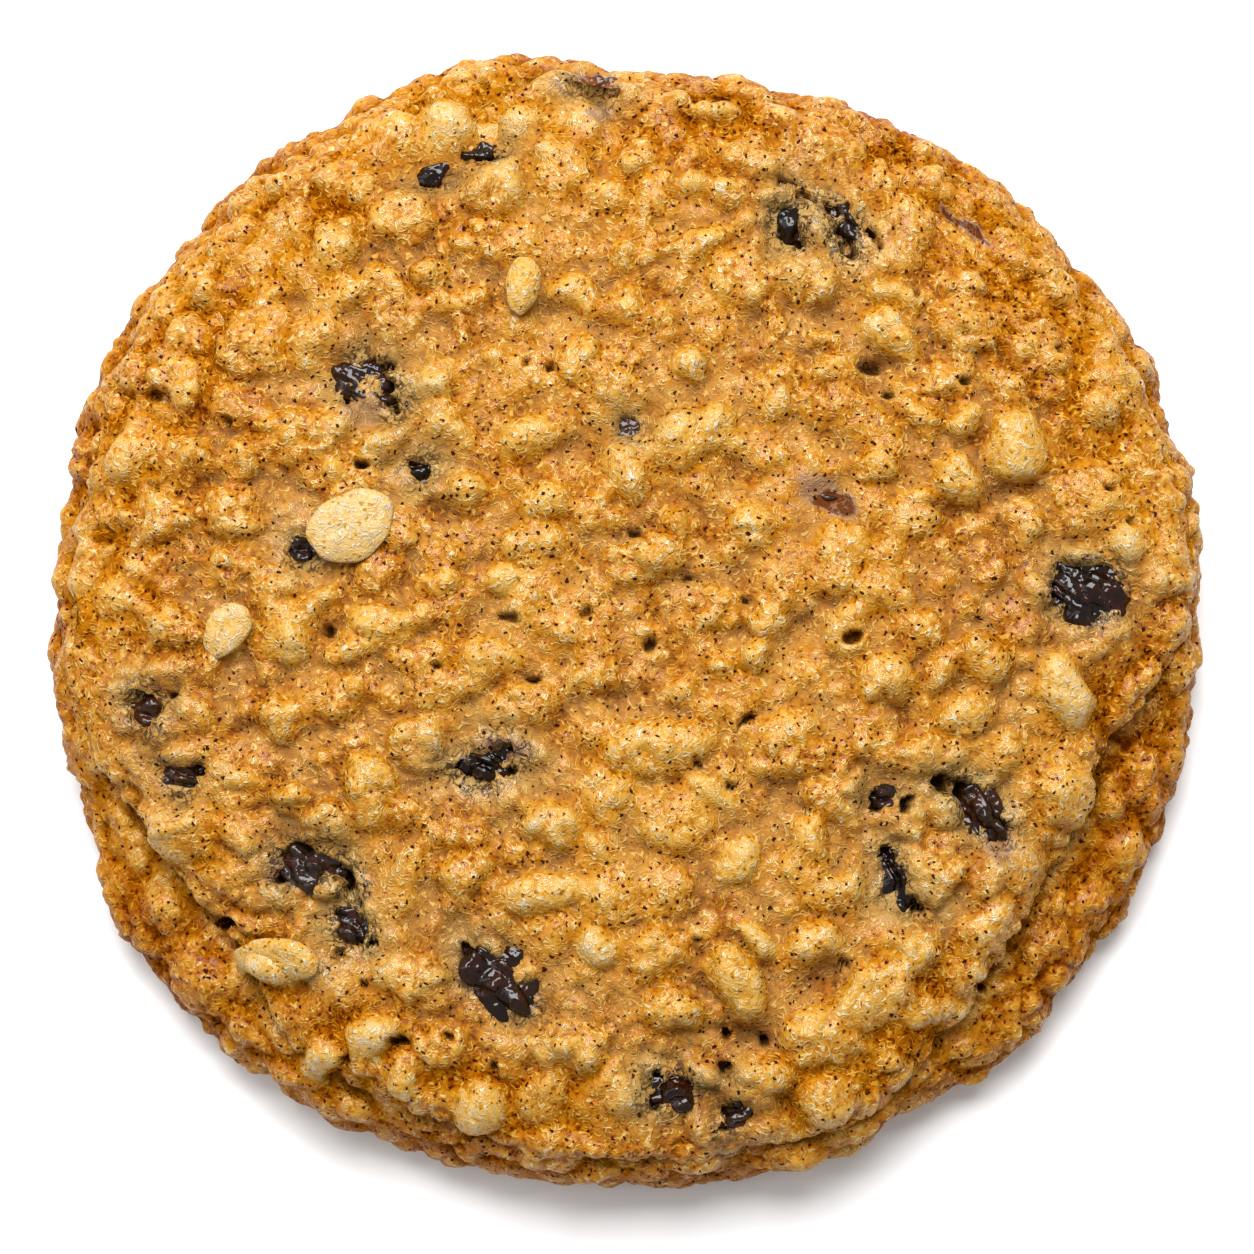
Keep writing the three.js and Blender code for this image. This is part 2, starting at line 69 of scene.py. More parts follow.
# Oat flakes: x, y, half length, half width, direction, height, and how pale they are from 0 to 1.
flakes = [
    (-23.2, 6.9, 3.8, 2.9, 20, 1.5, 1), (-20.3, -1.8, 3.3, 2.6, -15, 1.6, 0.35),
    (-33.6, -1.8, 2.4, 1.9, 60, 1.4, 0.8), (-28.6, -2.2, 3.2, 2.6, -20, 1.6, 0.2),
    (-21.2, -15.2, 3.5, 3.0, 100, 2.0, 0.25), (-6.6, -18.4, 3.0, 2.6, -40, 2.0, 0.3),
    (-6.8, -24.2, 4.1, 1.9, 5, 1.7, 0.6), (-10.5, 3.0, 2.3, 1.6, 0, 1.3, 0.75),
    (-8.2, 14.4, 3.1, 2.1, 10, 1.5, 0.45), (-17.0, 19.3, 2.7, 2.2, 35, 1.4, 0.3),
    (22.0, 23.2, 3.0, 2.4, -30, 2.0, 0.35), (33.0, 13.8, 3.5, 2.6, 115, 2.1, 0.6),
    (27.8, 11.3, 2.9, 2.7, 0, 2.0, 0.2), (21.5, -6.3, 3.2, 2.4, 20, 1.8, 0.3),
    (6.2, -14.9, 2.4, 1.3, -25, 1.2, 0.55), (9.2, -21.2, 2.8, 2.0, 60, 1.6, 0.65),
    (9.0, -31.5, 4.0, 2.4, -55, 2.0, 0.35), (37.0, -6.5, 3.6, 2.3, -75, 2.0, 0.55),
    (-29.3, -29.4, 3.9, 1.7, -8, 2.0, 0.55), (-21.3, -35.6, 2.5, 1.8, 20, 1.7, 0.6),
    (-12.4, -41.3, 2.8, 2.4, 30, 1.8, 0.55), (-2.4, -28.1, 2.2, 1.7, -20, 1.5, 0.6),
    (7.5, 42.2, 2.7, 1.5, 10, 1.4, 0.35), (-15.5, 41.3, 2.8, 2.2, 15, 1.6, 0.35),
    (-8.8, 27.4, 2.6, 1.4, 80, 1.8, 0.7), (11.0, -28.4, 2.2, 1.4, -35, 1.6, 0.7),
    (28.3, 16.2, 2.0, 1.5, 20, 1.6, 0.4), (-25.8, -37.5, 2.3, 1.5, 15, 1.6, 0.6),
    (5.8, 36.5, 1.9, 1.3, 30, 1.5, 0.45), (21.8, 26.8, 2.2, 1.3, 20, 1.6, 0.4),
    (42.0, 5.5, 1.6, 1.4, 0, 1.4, 0.6),
]

# Lumps of dough on the crust, in the same terms without the last.
lumps = [
    (28.8, 24.0, 4.1, 3.4, 0, 1.9), (4.8, 14.4, 4.8, 2.7, 15, 2.0), (4.0, -17.4, 3.8, 3.3, 0, 1.5),
    (3.4, -33.4, 3.0, 2.7, 0, 1.7), (15.8, -28.2, 3.0, 2.3, 20, 1.8), (16.4, -35.6, 3.4, 3.4, 0, 1.8),
    (30.2, -4.4, 3.1, 2.3, -10, 1.7), (36.6, -15.2, 3.6, 3.0, 80, 1.4), (-5.3, -37.0, 4.6, 2.8, -10, 1.9),
    (-38.4, -1.3, 3.1, 2.5, 0, 1.4), (-37.0, -8.9, 2.4, 2.1, 0, 1.3), (-29.0, -9.2, 2.5, 2.0, 0, 1.4),
    (-37.6, -18.4, 4.1, 3.3, -10, 1.8), (-25.3, -17.8, 2.7, 2.4, 0, 1.7), (-41.2, 12.9, 3.2, 2.4, 20, 1.4),
    (-39.5, 7.6, 3.3, 2.5, 0, 1.4), (-33.4, 8.4, 3.3, 2.7, 0, 1.5), (-28.7, 14.9, 3.4, 2.8, 10, 1.6),
    (-32.0, 22.6, 3.4, 2.6, -15, 1.5), (-11.5, 36.5, 3.3, 2.9, 0, 1.7), (-28.5, 37.0, 2.6, 2.2, 40, 1.4),
    (6.2, 31.5, 3.2, 1.7, 15, 1.5), (15.0, 28.6, 3.6, 2.8, 0, 1.6), (1.6, 4.4, 4.0, 2.5, 15, 1.7),
    (10.2, 7.0, 3.2, 2.6, 0, 1.3), (24.0, 7.7, 2.8, 2.6, 0, 1.4), (12.0, -0.9, 2.5, 2.2, 0, 1.5),
    (2.2, -11.8, 5.4, 2.6, 8, 1.7), (13.0, -11.6, 4.2, 3.2, 35, 1.5), (17.4, -16.2, 2.8, 2.4, 0, 1.5),
    (25.6, -22.2, 2.8, 2.4, 0, 1.5), (25.4, -12.2, 3.8, 2.0, 20, 1.5), (20.6, -32.6, 4.4, 3.0, 30, 1.7),
    (30.0, -26.6, 3.8, 3.1, 40, 1.6), (-8.0, -8.2, 3.3, 2.3, 0, 1.5), (-17.4, -11.4, 3.2, 2.5, -30, 1.5),
    (-18.0, -30.6, 3.8, 2.6, -15, 1.5),
]

# Lumps on the rim: x, y, z, half length along the rim, half height, how far it stands out.
rimLumps = [
    (46.8, 7.0, 8.2, 3.0, 2.4, 1.4), (46.2, 1.0, 9.4, 2.2, 1.9, 1.2), (47.4, -5.0, 7.4, 3.2, 2.4, 1.4),
    (46.4, 12.0, 8.6, 2.6, 2.2, 1.2), (44.4, -14.6, 7.2, 3.2, 2.2, 1.3), (42.6, -20.6, 7.0, 3.0, 2.2, 1.3),
    (37.6, -30.2, 5.4, 2.8, 2.2, 1.2), (31.0, -36.0, 5.6, 4.2, 2.0, 1.2), (15.0, -46.0, 7.4, 3.2, 2.4, 1.5),
    (-11.6, -46.8, 5.0, 4.2, 1.8, 1.0), (-33.0, -37.6, 4.6, 3.6, 2.2, 1.3), (-36.6, -31.6, 6.8, 3.6, 2.6, 1.4),
    (-39.8, -24.4, 7.4, 2.8, 2.4, 1.5), (-45.0, -22.6, 4.6, 2.8, 2.2, 1.2), (-47.4, -11.6, 5.2, 3.2, 2.2, 1.2),
    (-48.0, 3.6, 5.8, 3.4, 2.4, 1.2), (-46.8, 14.0, 5.6, 3.2, 2.4, 1.2),
]

# Broad hollows between the lumps: x, y, half length, half width, direction, depth.
hollows = [
    (8.6, 10.6, 3.4, 1.5, 20, 1.9), (-3.4, 12.6, 2.6, 2.2, -20, 1.4), (-15.8, 7.4, 2.6, 1.8, -10, 1.5),
    (14.2, -2.6, 3.2, 1.4, 60, 1.5), (-1.6, -8.2, 4.4, 1.6, 25, 1.5), (-27.6, 9.0, 2.4, 1.6, 0, 1.7),
    (-25.2, -1.4, 1.9, 2.2, 0, 1.5), (32.2, 9.8, 3.2, 1.1, 10, 1.9), (26.2, 8.0, 2.4, 0.9, -15, 1.5),
    (16.8, 24.6, 2.6, 1.6, 10, 1.3), (20.6, 20.4, 2.2, 1.0, -10, 1.3), (10.4, -35.6, 4.0, 1.4, -15, 1.8),
    (16.4, -31.2, 3.0, 1.0, 20, 1.5), (-5.0, 24.6, 3.4, 1.3, -15, 1.3), (-32.4, -9.8, 2.2, 1.8, 0, 1.3),
    (31.8, -15.2, 1.6, 3.0, -20, 1.2), (22.4, -9.8, 3.0, 1.2, 25, 1.2), (14.0, -42.0, 1.8, 3.0, 20, 1.6),
    (-28.6, 26.0, 2.2, 1.4, 0, 1.2),
]

# Raisins: x, y, half length, half width, direction, how far it stands out of the dough round it.
raisins = [
    (-3.1, 45.0, 2.9, 1.5, 5, 0.7), (-12.3, 39.2, 2.0, 1.3, 0, 0.5), (-17.0, 37.8, 2.4, 1.4, 10, 0.5),
    (14.0, 32.9, 2.1, 1.9, 60, 0.7), (19.0, 33.3, 2.7, 1.5, -50, 0.6), (28.5, 32.4, 3.0, 1.5, -35, 0.4),
    (-22.2, 19.0, 3.3, 2.6, -25, 0.6), (-17.3, 11.9, 1.7, 1.5, 0, 0.3), (0.1, 15.2, 1.7, 1.4, 0, 0.3),
    (16.9, 9.4, 3.1, 1.9, -15, 0.6), (-27.7, 5.2, 1.8, 1.6, 0, 0.5), (-40.1, -8.6, 2.3, 1.9, -20, 0.6),
    (-37.5, -13.8, 2.6, 1.9, -15, 0.6), (-11.9, -13.0, 3.0, 2.2, -20, 0.6), (38.9, 1.6, 4.0, 3.4, -30, 0.9),
    (29.8, -17.1, 3.6, 2.1, -62, 0.9), (22.6, -22.6, 3.4, 1.5, -58, 0.5), (-26.4, -22.0, 3.2, 2.4, -25, 0.7),
    (-22.8, -26.6, 2.7, 1.9, -35, 0.6), (-10.8, -31.0, 4.5, 2.8, -42, 1.0), (4.1, -40.4, 2.6, 2.0, 10, 0.7),
    (9.8, -42.2, 2.3, 1.7, 35, 0.6), (21.6, -15.9, 1.5, 1.3, 0, 0.3),
]

# Smaller lumps that only show here, on top of those of the solid: same terms as lumps.
smallLumps = [
    (-43.0, 1.0, 2.4, 2.2, 0, 1.1), (-33.0, 12.5, 2.6, 2.3, 10, 1.2), (-26.8, 23.0, 2.6, 2.2, 0, 1.2),
    (-38.0, 20.5, 2.6, 2.4, 30, 1.2), (-34.0, 4.0, 2.8, 2.0, 0, 1.2), (-1.5, 21.0, 3.8, 2.6, 20, 1.3),
    (12.5, 17.5, 2.8, 2.3, 0, 1.2), (17.0, 17.5, 3.2, 2.4, 20, 1.3), (23.5, 17.5, 3.0, 2.1, 0, 1.2),
    (18.5, 2.5, 3.0, 2.4, 25, 1.3), (7.7, -0.5, 2.6, 2.1, 20, 1.3), (7.5, -5.0, 1.7, 1.4, 0, 1.1),
    (18.8, -0.9, 1.7, 1.3, 0, 1.2), (21.8, -12.7, 2.2, 1.8, 20, 1.1), (24.0, -18.0, 2.0, 1.8, 0, 1.1),
    (29.8, -8.2, 2.2, 1.8, 0, 1.2), (17.2, -24.0, 3.4, 2.1, 15, 1.2), (-13.5, -6.5, 2.4, 1.9, 0, 1.1),
    (-16.0, 2.5, 2.4, 1.9, 20, 1.1), (-14.0, -19.0, 2.4, 2.0, 0, 1.2), (-18.0, -21.5, 2.5, 2.1, 20, 1.2),
    (-11.5, -26.5, 2.3, 1.9, 0, 1.1), (-20.0, -27.5, 2.2, 1.8, 0, 1.1), (-15.8, -36.8, 2.2, 1.9, 0, 1.2),
    (-17.5, -40.5, 2.4, 1.9, 0, 1.1), (-40.0, -5.8, 2.0, 1.9, 0, 1.0), (42.3, 11.5, 1.9, 1.8, 0, 1.1),
    (39.5, 9.0, 3.2, 2.8, 0, 1.3), (43.7, 2.5, 2.0, 1.9, 0, 1.1), (-23.5, 27.0, 2.5, 2.1, 0, 1.2),
    (-21.0, 27.5, 2.2, 1.9, 0, 1.1), (-5.0, 27.0, 2.5, 2.0, 0, 1.2),
]


def hashed(ix, iy, iz, salt):
    # Whole numbers stirred together, as an even spread from 0 to 1.
    h = (ix * 374761393 + iy * 668265263 + iz * 1274126177 + salt * 974711) & 0xFFFFFFFF
    h = ((h ^ (h >> 13)) * 1103515245) & 0xFFFFFFFF
    return ((h ^ (h >> 16)) & 0xFFFFFF) / 0xFFFFFF


def softNoise(points, size, salt):
    # Random values on a lattice, joined by a smooth step along each axis, from -1 to 1.
    scaled = points / size
    cell = np.floor(scaled).astype(np.int64)
    part = scaled - cell
    part = part * part * (3 - 2 * part)
    total = np.zeros(len(points))
    for corner in np.ndindex(2, 2, 2):
        weight = np.prod([part[:, k] if corner[k] else 1 - part[:, k] for k in range(3)], axis=0)
        total += weight * hashed(*(cell[:, k] + corner[k] for k in range(3)), salt)
    return 2 * total - 1


def roughNoise(points, size, octaves, salt):
    # Soft noise at halving sizes and halving strengths.
    return sum(softNoise(points, size / 2 ** k, salt + 17 * k) / 2 ** k for k in range(octaves))


def pebbles(points, size, salt):
    # Distances to the nearest and second nearest of points scattered one to a cell.
    scaled = points / size
    cell = np.floor(scaled).astype(np.int64)
    nearest = np.full(len(points), 9.0)
    second = np.full(len(points), 9.0)
    for step in np.ndindex(3, 3, 3):
        at = [cell[:, k] + step[k] - 1 for k in range(3)]
        gaps = [at[k] + hashed(*at, salt + k) - scaled[:, k] for k in range(3)]
        far = np.sqrt(sum(gap * gap for gap in gaps))
        second = np.minimum(second, np.maximum(nearest, far))
        nearest = np.minimum(nearest, far)
    return nearest, second


def smoothStep(low, high, value):
    # 0 below low, 1 above high and a smooth ease between.
    t = np.clip((value - low) / (high - low), 0, 1)
    return t * t * (3 - 2 * t)


def splined(t, a, b, c, d):
    # Catmull-Rom value at the share t of the way from b to c.
    return b + 0.5 * t * (c - a + t * (2 * a - 5 * b + 4 * c - d + t * (3 * (b - c) + d - a)))


def ringRadius(radii, turn):
    # On a curve through a ring of radii, at an angle in turns.
    ring = np.asarray(radii)
    place = np.mod(turn, 1.0) * len(ring)
    i = np.floor(place).astype(int)
    return splined(place - i, *(ring[(i + step) % len(ring)] for step in (-1, 0, 1, 2)))


def sway(turn, shift):
    # An uneven wave round the rim, from -1 to 1.
    angle = 2 * math.pi * turn
    return 0.6 * np.sin(3 * angle + shift) + 0.4 * np.sin(8 * angle + 2.3 * shift)


def sectionPoints(turn):
    # Radius and height of the section's named points, from the shoulder down to the underside.
    foot = ringRadius(dough["footRadii"], turn)
    crust = ringRadius(dough["crustRadii"], turn)
    crown, footHeight = dough["crownHeight"], dough["footHeight"]
    at = turn % 1
    step = dough["faintStep"]
    for start, full, fullEnd, end, share in dough["steps"]:
        step = step + share * smoothStep(start, full, at) * smoothStep(end, fullEnd, at)
    edge = dough["crustEdgeHeight"] + dough["edgeSway"] * sway(turn, 0.7)
    crease = edge - dough["creaseDrop"]
    inward = dough["creaseInset"] + dough["creaseSway"] * sway(turn, 3.9)
    flat = np.zeros_like(foot)
    (shoulderIn, shoulderDrop), (browIn, browDrop) = dough["shoulder"], dough["brow"]
    stepped = [(crust - dough["lip"][0], edge + dough["lip"][1]), (crust, edge), (crust - inward, crease)]
    stepped += [(crust + share * (foot - crust), crease + rise) for share, rise in dough["ledge"]]
    stepped += [(foot - dough["footTop"][0], flat + footHeight + dough["footTop"][1])]
    # Without the step the side is a quarter of an ellipse, from the brow down to the foot.
    start, fall = crust - browIn, crown - browDrop - footHeight
    rounded = [(start + share * (foot - start), flat + footHeight + fall * math.sqrt(1 - share * share))
               for share in dough["roundedShares"]]
    side = np.array(stepped) * step + np.array(rounded) * (1 - step)
    top = [(crust - shoulderIn, flat + crown - shoulderDrop), (start, flat + crown - browDrop)]
    under = [(foot, flat + footHeight), (foot - dough["footUnder"][0], flat + footHeight - dough["footUnder"][1]),
             (foot - dough["hem"][0], flat + dough["hem"][1]), (foot - dough["bottomInset"], flat)]
    return np.concatenate([top, side, under])


def along(rows, place):
    # On a curve through a run of section points, at a place counted in points.
    last = len(rows) - 1
    place = np.clip(place, 0, last)
    i = np.minimum(np.floor(place).astype(int), last - 1)
    pick = np.arange(rows.shape[2])
    return splined(place - i, *(rows[np.clip(i + step, 0, last), :, pick].T for step in (-1, 0, 1, 2)))


def topPoint(turn, share, shoulder):
    # From the middle to the shoulder the height falls with the cube of the share.
    radius = shoulder[0] * share
    return np.array([radius, dough["crownHeight"] + (shoulder[1] - dough["crownHeight"]) * share ** 3])


def placed(turn, section):
    angle = 2 * math.pi * turn
    return np.stack([section[0] * np.cos(angle), section[0] * np.sin(angle), section[1]], axis=1)


def normalsOf(turn, inner, outer):
    # Square to the section's run from inner to outer, in the upright plane at that angle.
    angle = 2 * math.pi * turn
    run, rise = outer - inner
    normal = np.stack([-rise * np.cos(angle), -rise * np.sin(angle), run], axis=1)
    return normal / np.linalg.norm(normal, axis=1, keepdims=True)


nextSeed = dough["seed"]


def random():
    # The next number of a seeded run, from 0 to 1.
    global nextSeed
    nextSeed = nextSeed * 16807 % 2147483647
    return nextSeed / 2147483647


def between(low, high):
    return low + (high - low) * random()


def onTurn(turn, radius, height):
    return (radius * math.cos(turn * 2 * math.pi), radius * math.sin(turn * 2 * math.pi), height)


def linearSection(turn, place):
    rows = sectionPoints(np.array([turn]))[:, :, 0]
    i = min(int(place), len(rows) - 2)
    return rows[i] + (rows[i + 1] - rows[i]) * (place - i)


def onCrust(x, y):
    # Where a point of the plan lies on the bare crust.
    turn = math.atan2(y, x) / (2 * math.pi)
    shoulder = sectionPoints(np.array([turn]))[0, :, 0]
    share = math.hypot(x, y) / shoulder[0]
    if share <= 1:
        radius, height = topPoint(turn, share, shoulder)
    else:
        pace, most = dough["turnDown"]
        radius, height = linearSection(turn, dough["lastPoint"] * min(max((share - 1) * pace, 0), most))
    return onTurn(turn, radius, height)


def mound(row, deep):
    # A lump on the crust: its middle, half length, half width, depth of reach, direction and height.
    x, y, length, width, direction, height = row
    angle = math.radians(direction)
    return (*onCrust(x, y), length, width, deep, math.cos(angle), math.sin(angle), height)


def rimMound(at, length, deep, height):
    angle = math.atan2(at[1], at[0])
    return (*at, length, dough["rimWide"] * length, deep, -math.sin(angle), math.cos(angle), height)


def clearOf(others, at, size):
    # Whether a lump of this half length keeps its distance from all the others.
    rows = np.array(others)
    return bool(np.all(np.linalg.norm(rows[:, :3] - at, axis=1) > dough["apart"] * (size + rows[:, 3])))


def reach(one, points):
    # Squared distance from a mound's middle, 1 on its edge.
    x, y, z, length, width, deep, cos, sin, _ = one
    dx, dy, dz = points[:, 0] - x, points[:, 1] - y, points[:, 2] - z
    return ((dx * cos + dy * sin) / length) ** 2 + ((dy * cos - dx * sin) / width) ** 2 + (dz / deep) ** 2


def scatterTop(mounds, keepOut, kind):
    # Lumps on the crust, spread evenly over its area, each clear of those already there.
    for _ in range(kind["tries"]):
        turn, share = random(), math.sqrt(random()) * dough["spread"]
        size, direction, height = (between(*kind[key]) for key in ("sizes", "directions", "heights"))
        radius = share * sectionPoints(np.array([turn]))[0, 0, 0]
        x, y, _ = onTurn(turn, radius, 0)
        if clearOf(mounds + keepOut, onCrust(x, y), size):
            row = (x, y, size, size * between(kind["narrow"], 1), direction, height)
            mounds.append(mound(row, kind["deep"]))


def scatterRim(mounds, kind):
    # The same on the rim, at places down the section.
    low, tall = kind["band"]
    for _ in range(kind["tries"]):
        turn = random()
        radius, height = linearSection(turn, dough["lastPoint"] * (low + tall * random()))
        at = onTurn(turn, radius, height)
        size, standOut = between(*kind["sizes"]), between(*kind["heights"])
        if clearOf(mounds, at, size):
            mounds.append(rimMound(at, size, kind["tall"] * size, standOut))


mounds = [mound(row[:6], dough["moundDeep"]) for row in flakes + lumps]
mounds += [rimMound(row[:3], *row[3:]) for row in rimLumps]
sinks = [mound(row, dough["moundDeep"]) for row in hollows]
wider, sunk = dough["raisinSink"]
raisinSinks = [mound((x, y, length + wider, width + wider, direction, sunk), dough["moundDeep"])
               for x, y, length, width, direction, out in raisins]
scatterTop(mounds, raisinSinks, topFillers)
scatterRim(mounds, rimFillers)
moundsInSolid = len(mounds)
mounds += [mound(row, topFillers["deep"]) for row in smallLumps]
knobs = [mound((0, 0, 1.2, 1, 0, 0.3), topFillers["deep"])]
scatterTop(knobs, [], topKnobs)
scatterRim(knobs, rimKnobs)
print("dough lumps:", len(mounds), "and knobs:", len(knobs))

# Where a raisin shows through the dough: x, y, half length, half width, direction, and how much dough
# still lies over it in strands, from 0 to 1.
windows = [
    (-4.3, 45.2, 1.0, 0.5, -10, 0), (-2.7, 44.8, 1.0, 0.45, 20, 0), (-1.4, 45.6, 0.7, 0.5, 0, 0),
    (-12.0, 39.1, 1.5, 0.4, 12, 0), (-16.6, 37.0, 1.6, 0.25, 6, 0), (13.8, 33.0, 1.5, 1.1, -60, 0.5),
    (14.0, 37.0, 0.9, 0.5, 0, 0.3), (15.9, 35.2, 1.6, 0.3, -40, 0.3), (14.2, 31.2, 0.8, 0.35, -20, 0),
    (17.9, 34.4, 0.9, 0.7, -20, 0.2), (18.9, 31.8, 1.4, 0.8, -75, 0.7), (20.9, 31.6, 0.3, 0.9, 20, 0.5),
    (-20.1, 18.4, 0.5, 1.9, 15, 0.5), (-21.5, 20.9, 1.8, 0.45, -15, 0.7), (-23.7, 18.6, 0.35, 1.2, 10, 0.6),
    (-17.3, 11.9, 0.75, 0.95, 0, 0), (0.1, 15.2, 0.8, 0.6, 15, 0.3), (-27.4, 5.0, 1.1, 0.8, 0, 0.3),
    (-40.4, -8.6, 1.9, 0.8, -65, 0.3), (-38.3, -7.2, 0.4, 0.4, 0, 0), (-38.5, -12.2, 0.35, 0.6, 0, 0),
    (-38.1, -13.2, 1.1, 0.5, -10, 0.2), (-36.2, -13.6, 0.6, 0.5, 0, 0), (-37.5, -14.4, 1.0, 0.7, 0, 0.9),
    (-13.1, -13.7, 1.9, 0.55, -12, 0), (-10.4, -11.9, 1.6, 0.7, -10, 0.9), (-10.2, -13.5, 1.0, 0.35, -30, 0.6),
    (38.9, 2.5, 2.6, 1.4, -5, 0), (39.2, 0.6, 1.3, 1.5, 10, 0.1), (36.6, 1.4, 1.0, 1.0, 0, 0.8),
    (28.9, -15.9, 2.0, 1.0, -52, 0), (30.8, -18.4, 1.9, 0.9, -65, 0.7), (26.5, -14.9, 0.7, 0.6, -30, 0.4),
    (21.7, -20.7, 0.8, 0.7, 0, 0), (22.4, -22.6, 1.7, 0.5, -66, 0.2), (24.2, -24.6, 1.0, 0.4, -15, 0.3),
    (-26.4, -21.2, 2.9, 1.1, -12, 0.45), (-28.4, -22.3, 1.4, 0.5, 30, 0.5), (-23.5, -23.0, 0.6, 1.9, 20, 0.6),
    (-23.1, -26.6, 1.5, 1.1, -35, 0.75), (-21.3, -27.9, 0.6, 0.35, 0, 0), (-24.4, -29.3, 0.6, 0.35, 0, 0),
    (-10.9, -31.1, 3.7, 1.25, -43, 0.1), (-13.1, -28.8, 1.0, 0.5, -50, 0.2), (4.3, -40.3, 1.3, 1.1, 10, 0.1),
    (2.5, -41.4, 0.8, 0.9, 30, 0.3), (2.2, -39.4, 0.6, 0.4, -20, 0), (8.8, -41.4, 0.9, 0.55, 30, 0.3),
    (8.5, -43.0, 0.9, 0.4, 30, 0.4), (7.6, -39.9, 0.3, 0.8, -10, 0.3), (8.3, -38.7, 0.4, 0.6, 0, 0),
    (21.0, -16.3, 0.6, 0.5, 0, 0), (23.4, -16.4, 0.6, 0.5, 0, 0.4),
]

# Where a raisin lies so close under the dough that it only colours it: x, y, half length, half width,
# direction, strength.
films = [
    (28.5, 32.6, 2.5, 0.5, -35, 1.1), (16.2, 9.9, 2.4, 1.5, -15, 0.5), (17.8, 8.9, 1.9, 1.0, -15, 1.0),
    (-2.4, 41.8, 1.5, 0.8, 20, 0.5), (-10.2, -11.6, 2.2, 1.0, -10, 0.6), (36.4, 1.6, 1.2, 1.4, 0, 0.5),
    (-22.2, 17.2, 2.0, 1.6, 0, 0.35), (31.2, -19.4, 1.2, 2.0, 0, 0.4), (-29.0, -22.0, 1.4, 1.0, 0, 0.5),
]

# Dough that lies over a raisin: x, y, half length, half width, direction, height.
nubs = [
    (16.3, 32.5, 1.8, 1.9, 20, 1.7), (12.1, 35.4, 2.1, 1.5, 0, 1.5), (-22.2, 18.6, 1.3, 1.5, 0, 1.3),
    (-25.5, -23.8, 1.6, 1.5, 0, 1.8), (27.1, -17.4, 1.8, 1.6, 0, 1.5), (-39.0, -10.3, 1.9, 1.2, 10, 1.4),
    (6.5, -38.9, 1.5, 1.4, 0, 1.5), (-11.9, -11.2, 1.6, 1.1, 0, 1.0), (41.7, 5.2, 1.6, 1.3, -30, 1.6),
    (38.6, 5.2, 1.6, 1.2, 0, 1.4), (10.9, -41.0, 1.2, 1.2, 0, 1.5), (6.4, -42.6, 1.4, 1.2, 0, 1.3),
    (-13.7, 38.4, 1.3, 1.0, 0, 1.0), (20.4, 33.7, 1.4, 0.8, 50, 1.2), (-11.0, -28.2, 1.2, 0.9, -30, 1.2),
    (24.6, -21.4, 1.9, 1.9, 0, 1.5), (-36.9, -11.8, 1.7, 1.1, 0, 1.3), (-8.4, -30.4, 1.1, 1.6, -40, 1.2),
]

# Holes in the dough: x, y, half length, half width, direction, depth.
pits = [
    (-39.5, 18.0, 0.8, 0.7, 0, 1.3), (-43.5, 6.5, 0.7, 0.6, 0, 1.2), (-34.0, 16.2, 0.4, 0.5, 0, 1.2),
    (-22.4, 12.3, 0.7, 0.5, 0, 2.2), (-25.0, -2.0, 0.7, 0.6, 0, 1.4), (-10.0, -0.5, 0.6, 0.5, 0, 1.2),
    (-3.5, 0.0, 0.8, 0.6, 0, 1.0), (-8.0, -6.2, 0.9, 0.4, 10, 1.3), (2.0, -3.3, 0.7, 0.5, 0, 1.6),
    (0.5, 6.0, 0.6, 0.4, 0, 1.2), (18.8, -2.5, 1.1, 0.7, 20, 1.6), (10.0, -9.3, 1.0, 0.4, 25, 1.7),
    (8.7, -15.0, 0.5, 0.4, 0, 1.3), (8.3, -35.6, 0.6, 0.6, 0, 1.9), (11.5, -36.4, 0.6, 0.6, 0, 1.9),
    (5.9, -27.8, 0.4, 0.3, 0, 1.2), (18.0, -30.0, 0.6, 0.4, 0, 1.2), (-21.8, -31.8, 0.5, 0.3, 0, 1.3),
    (-19.2, -36.3, 0.8, 0.4, 0, 1.7), (-23.2, -37.3, 0.5, 0.4, 0, 1.3), (-15.0, -35.8, 0.5, 0.4, 0, 1.3),
    (-10.9, -38.3, 0.4, 0.4, 0, 1.3), (-34.7, -27.3, 0.8, 0.4, 0, 1.4), (-37.0, -28.2, 0.5, 0.4, 0, 1.3),
    (30.9, -33.0, 0.6, 0.5, 0, 1.3), (36.5, 22.2, 0.5, 0.4, 0, 1.3), (28.3, 19.4, 0.5, 0.4, 0, 1.3),
    (40.8, 10.5, 0.4, 0.3, 0, 1.2), (20.5, 20.5, 1.3, 0.5, -5, 1.4),
]

# Places of the smallest holes, which are all alike.
smallPits = [
    (-39.7, 10.3), (-16.0, -4.9), (5.0, 2.2), (10.0, 0.5), (6.0, -12.8), (22.4, 18.0), (42.3, 7.5),
    (-8.7, 21.0), (-6.3, 20.3), (35.3, 28.4), (34.2, 25.0), (24.3, 26.7), (-29.8, 34.5),
]
pits += [(x, y, 0.5, 0.4, 0, 1.2) for x, y in smallPits]

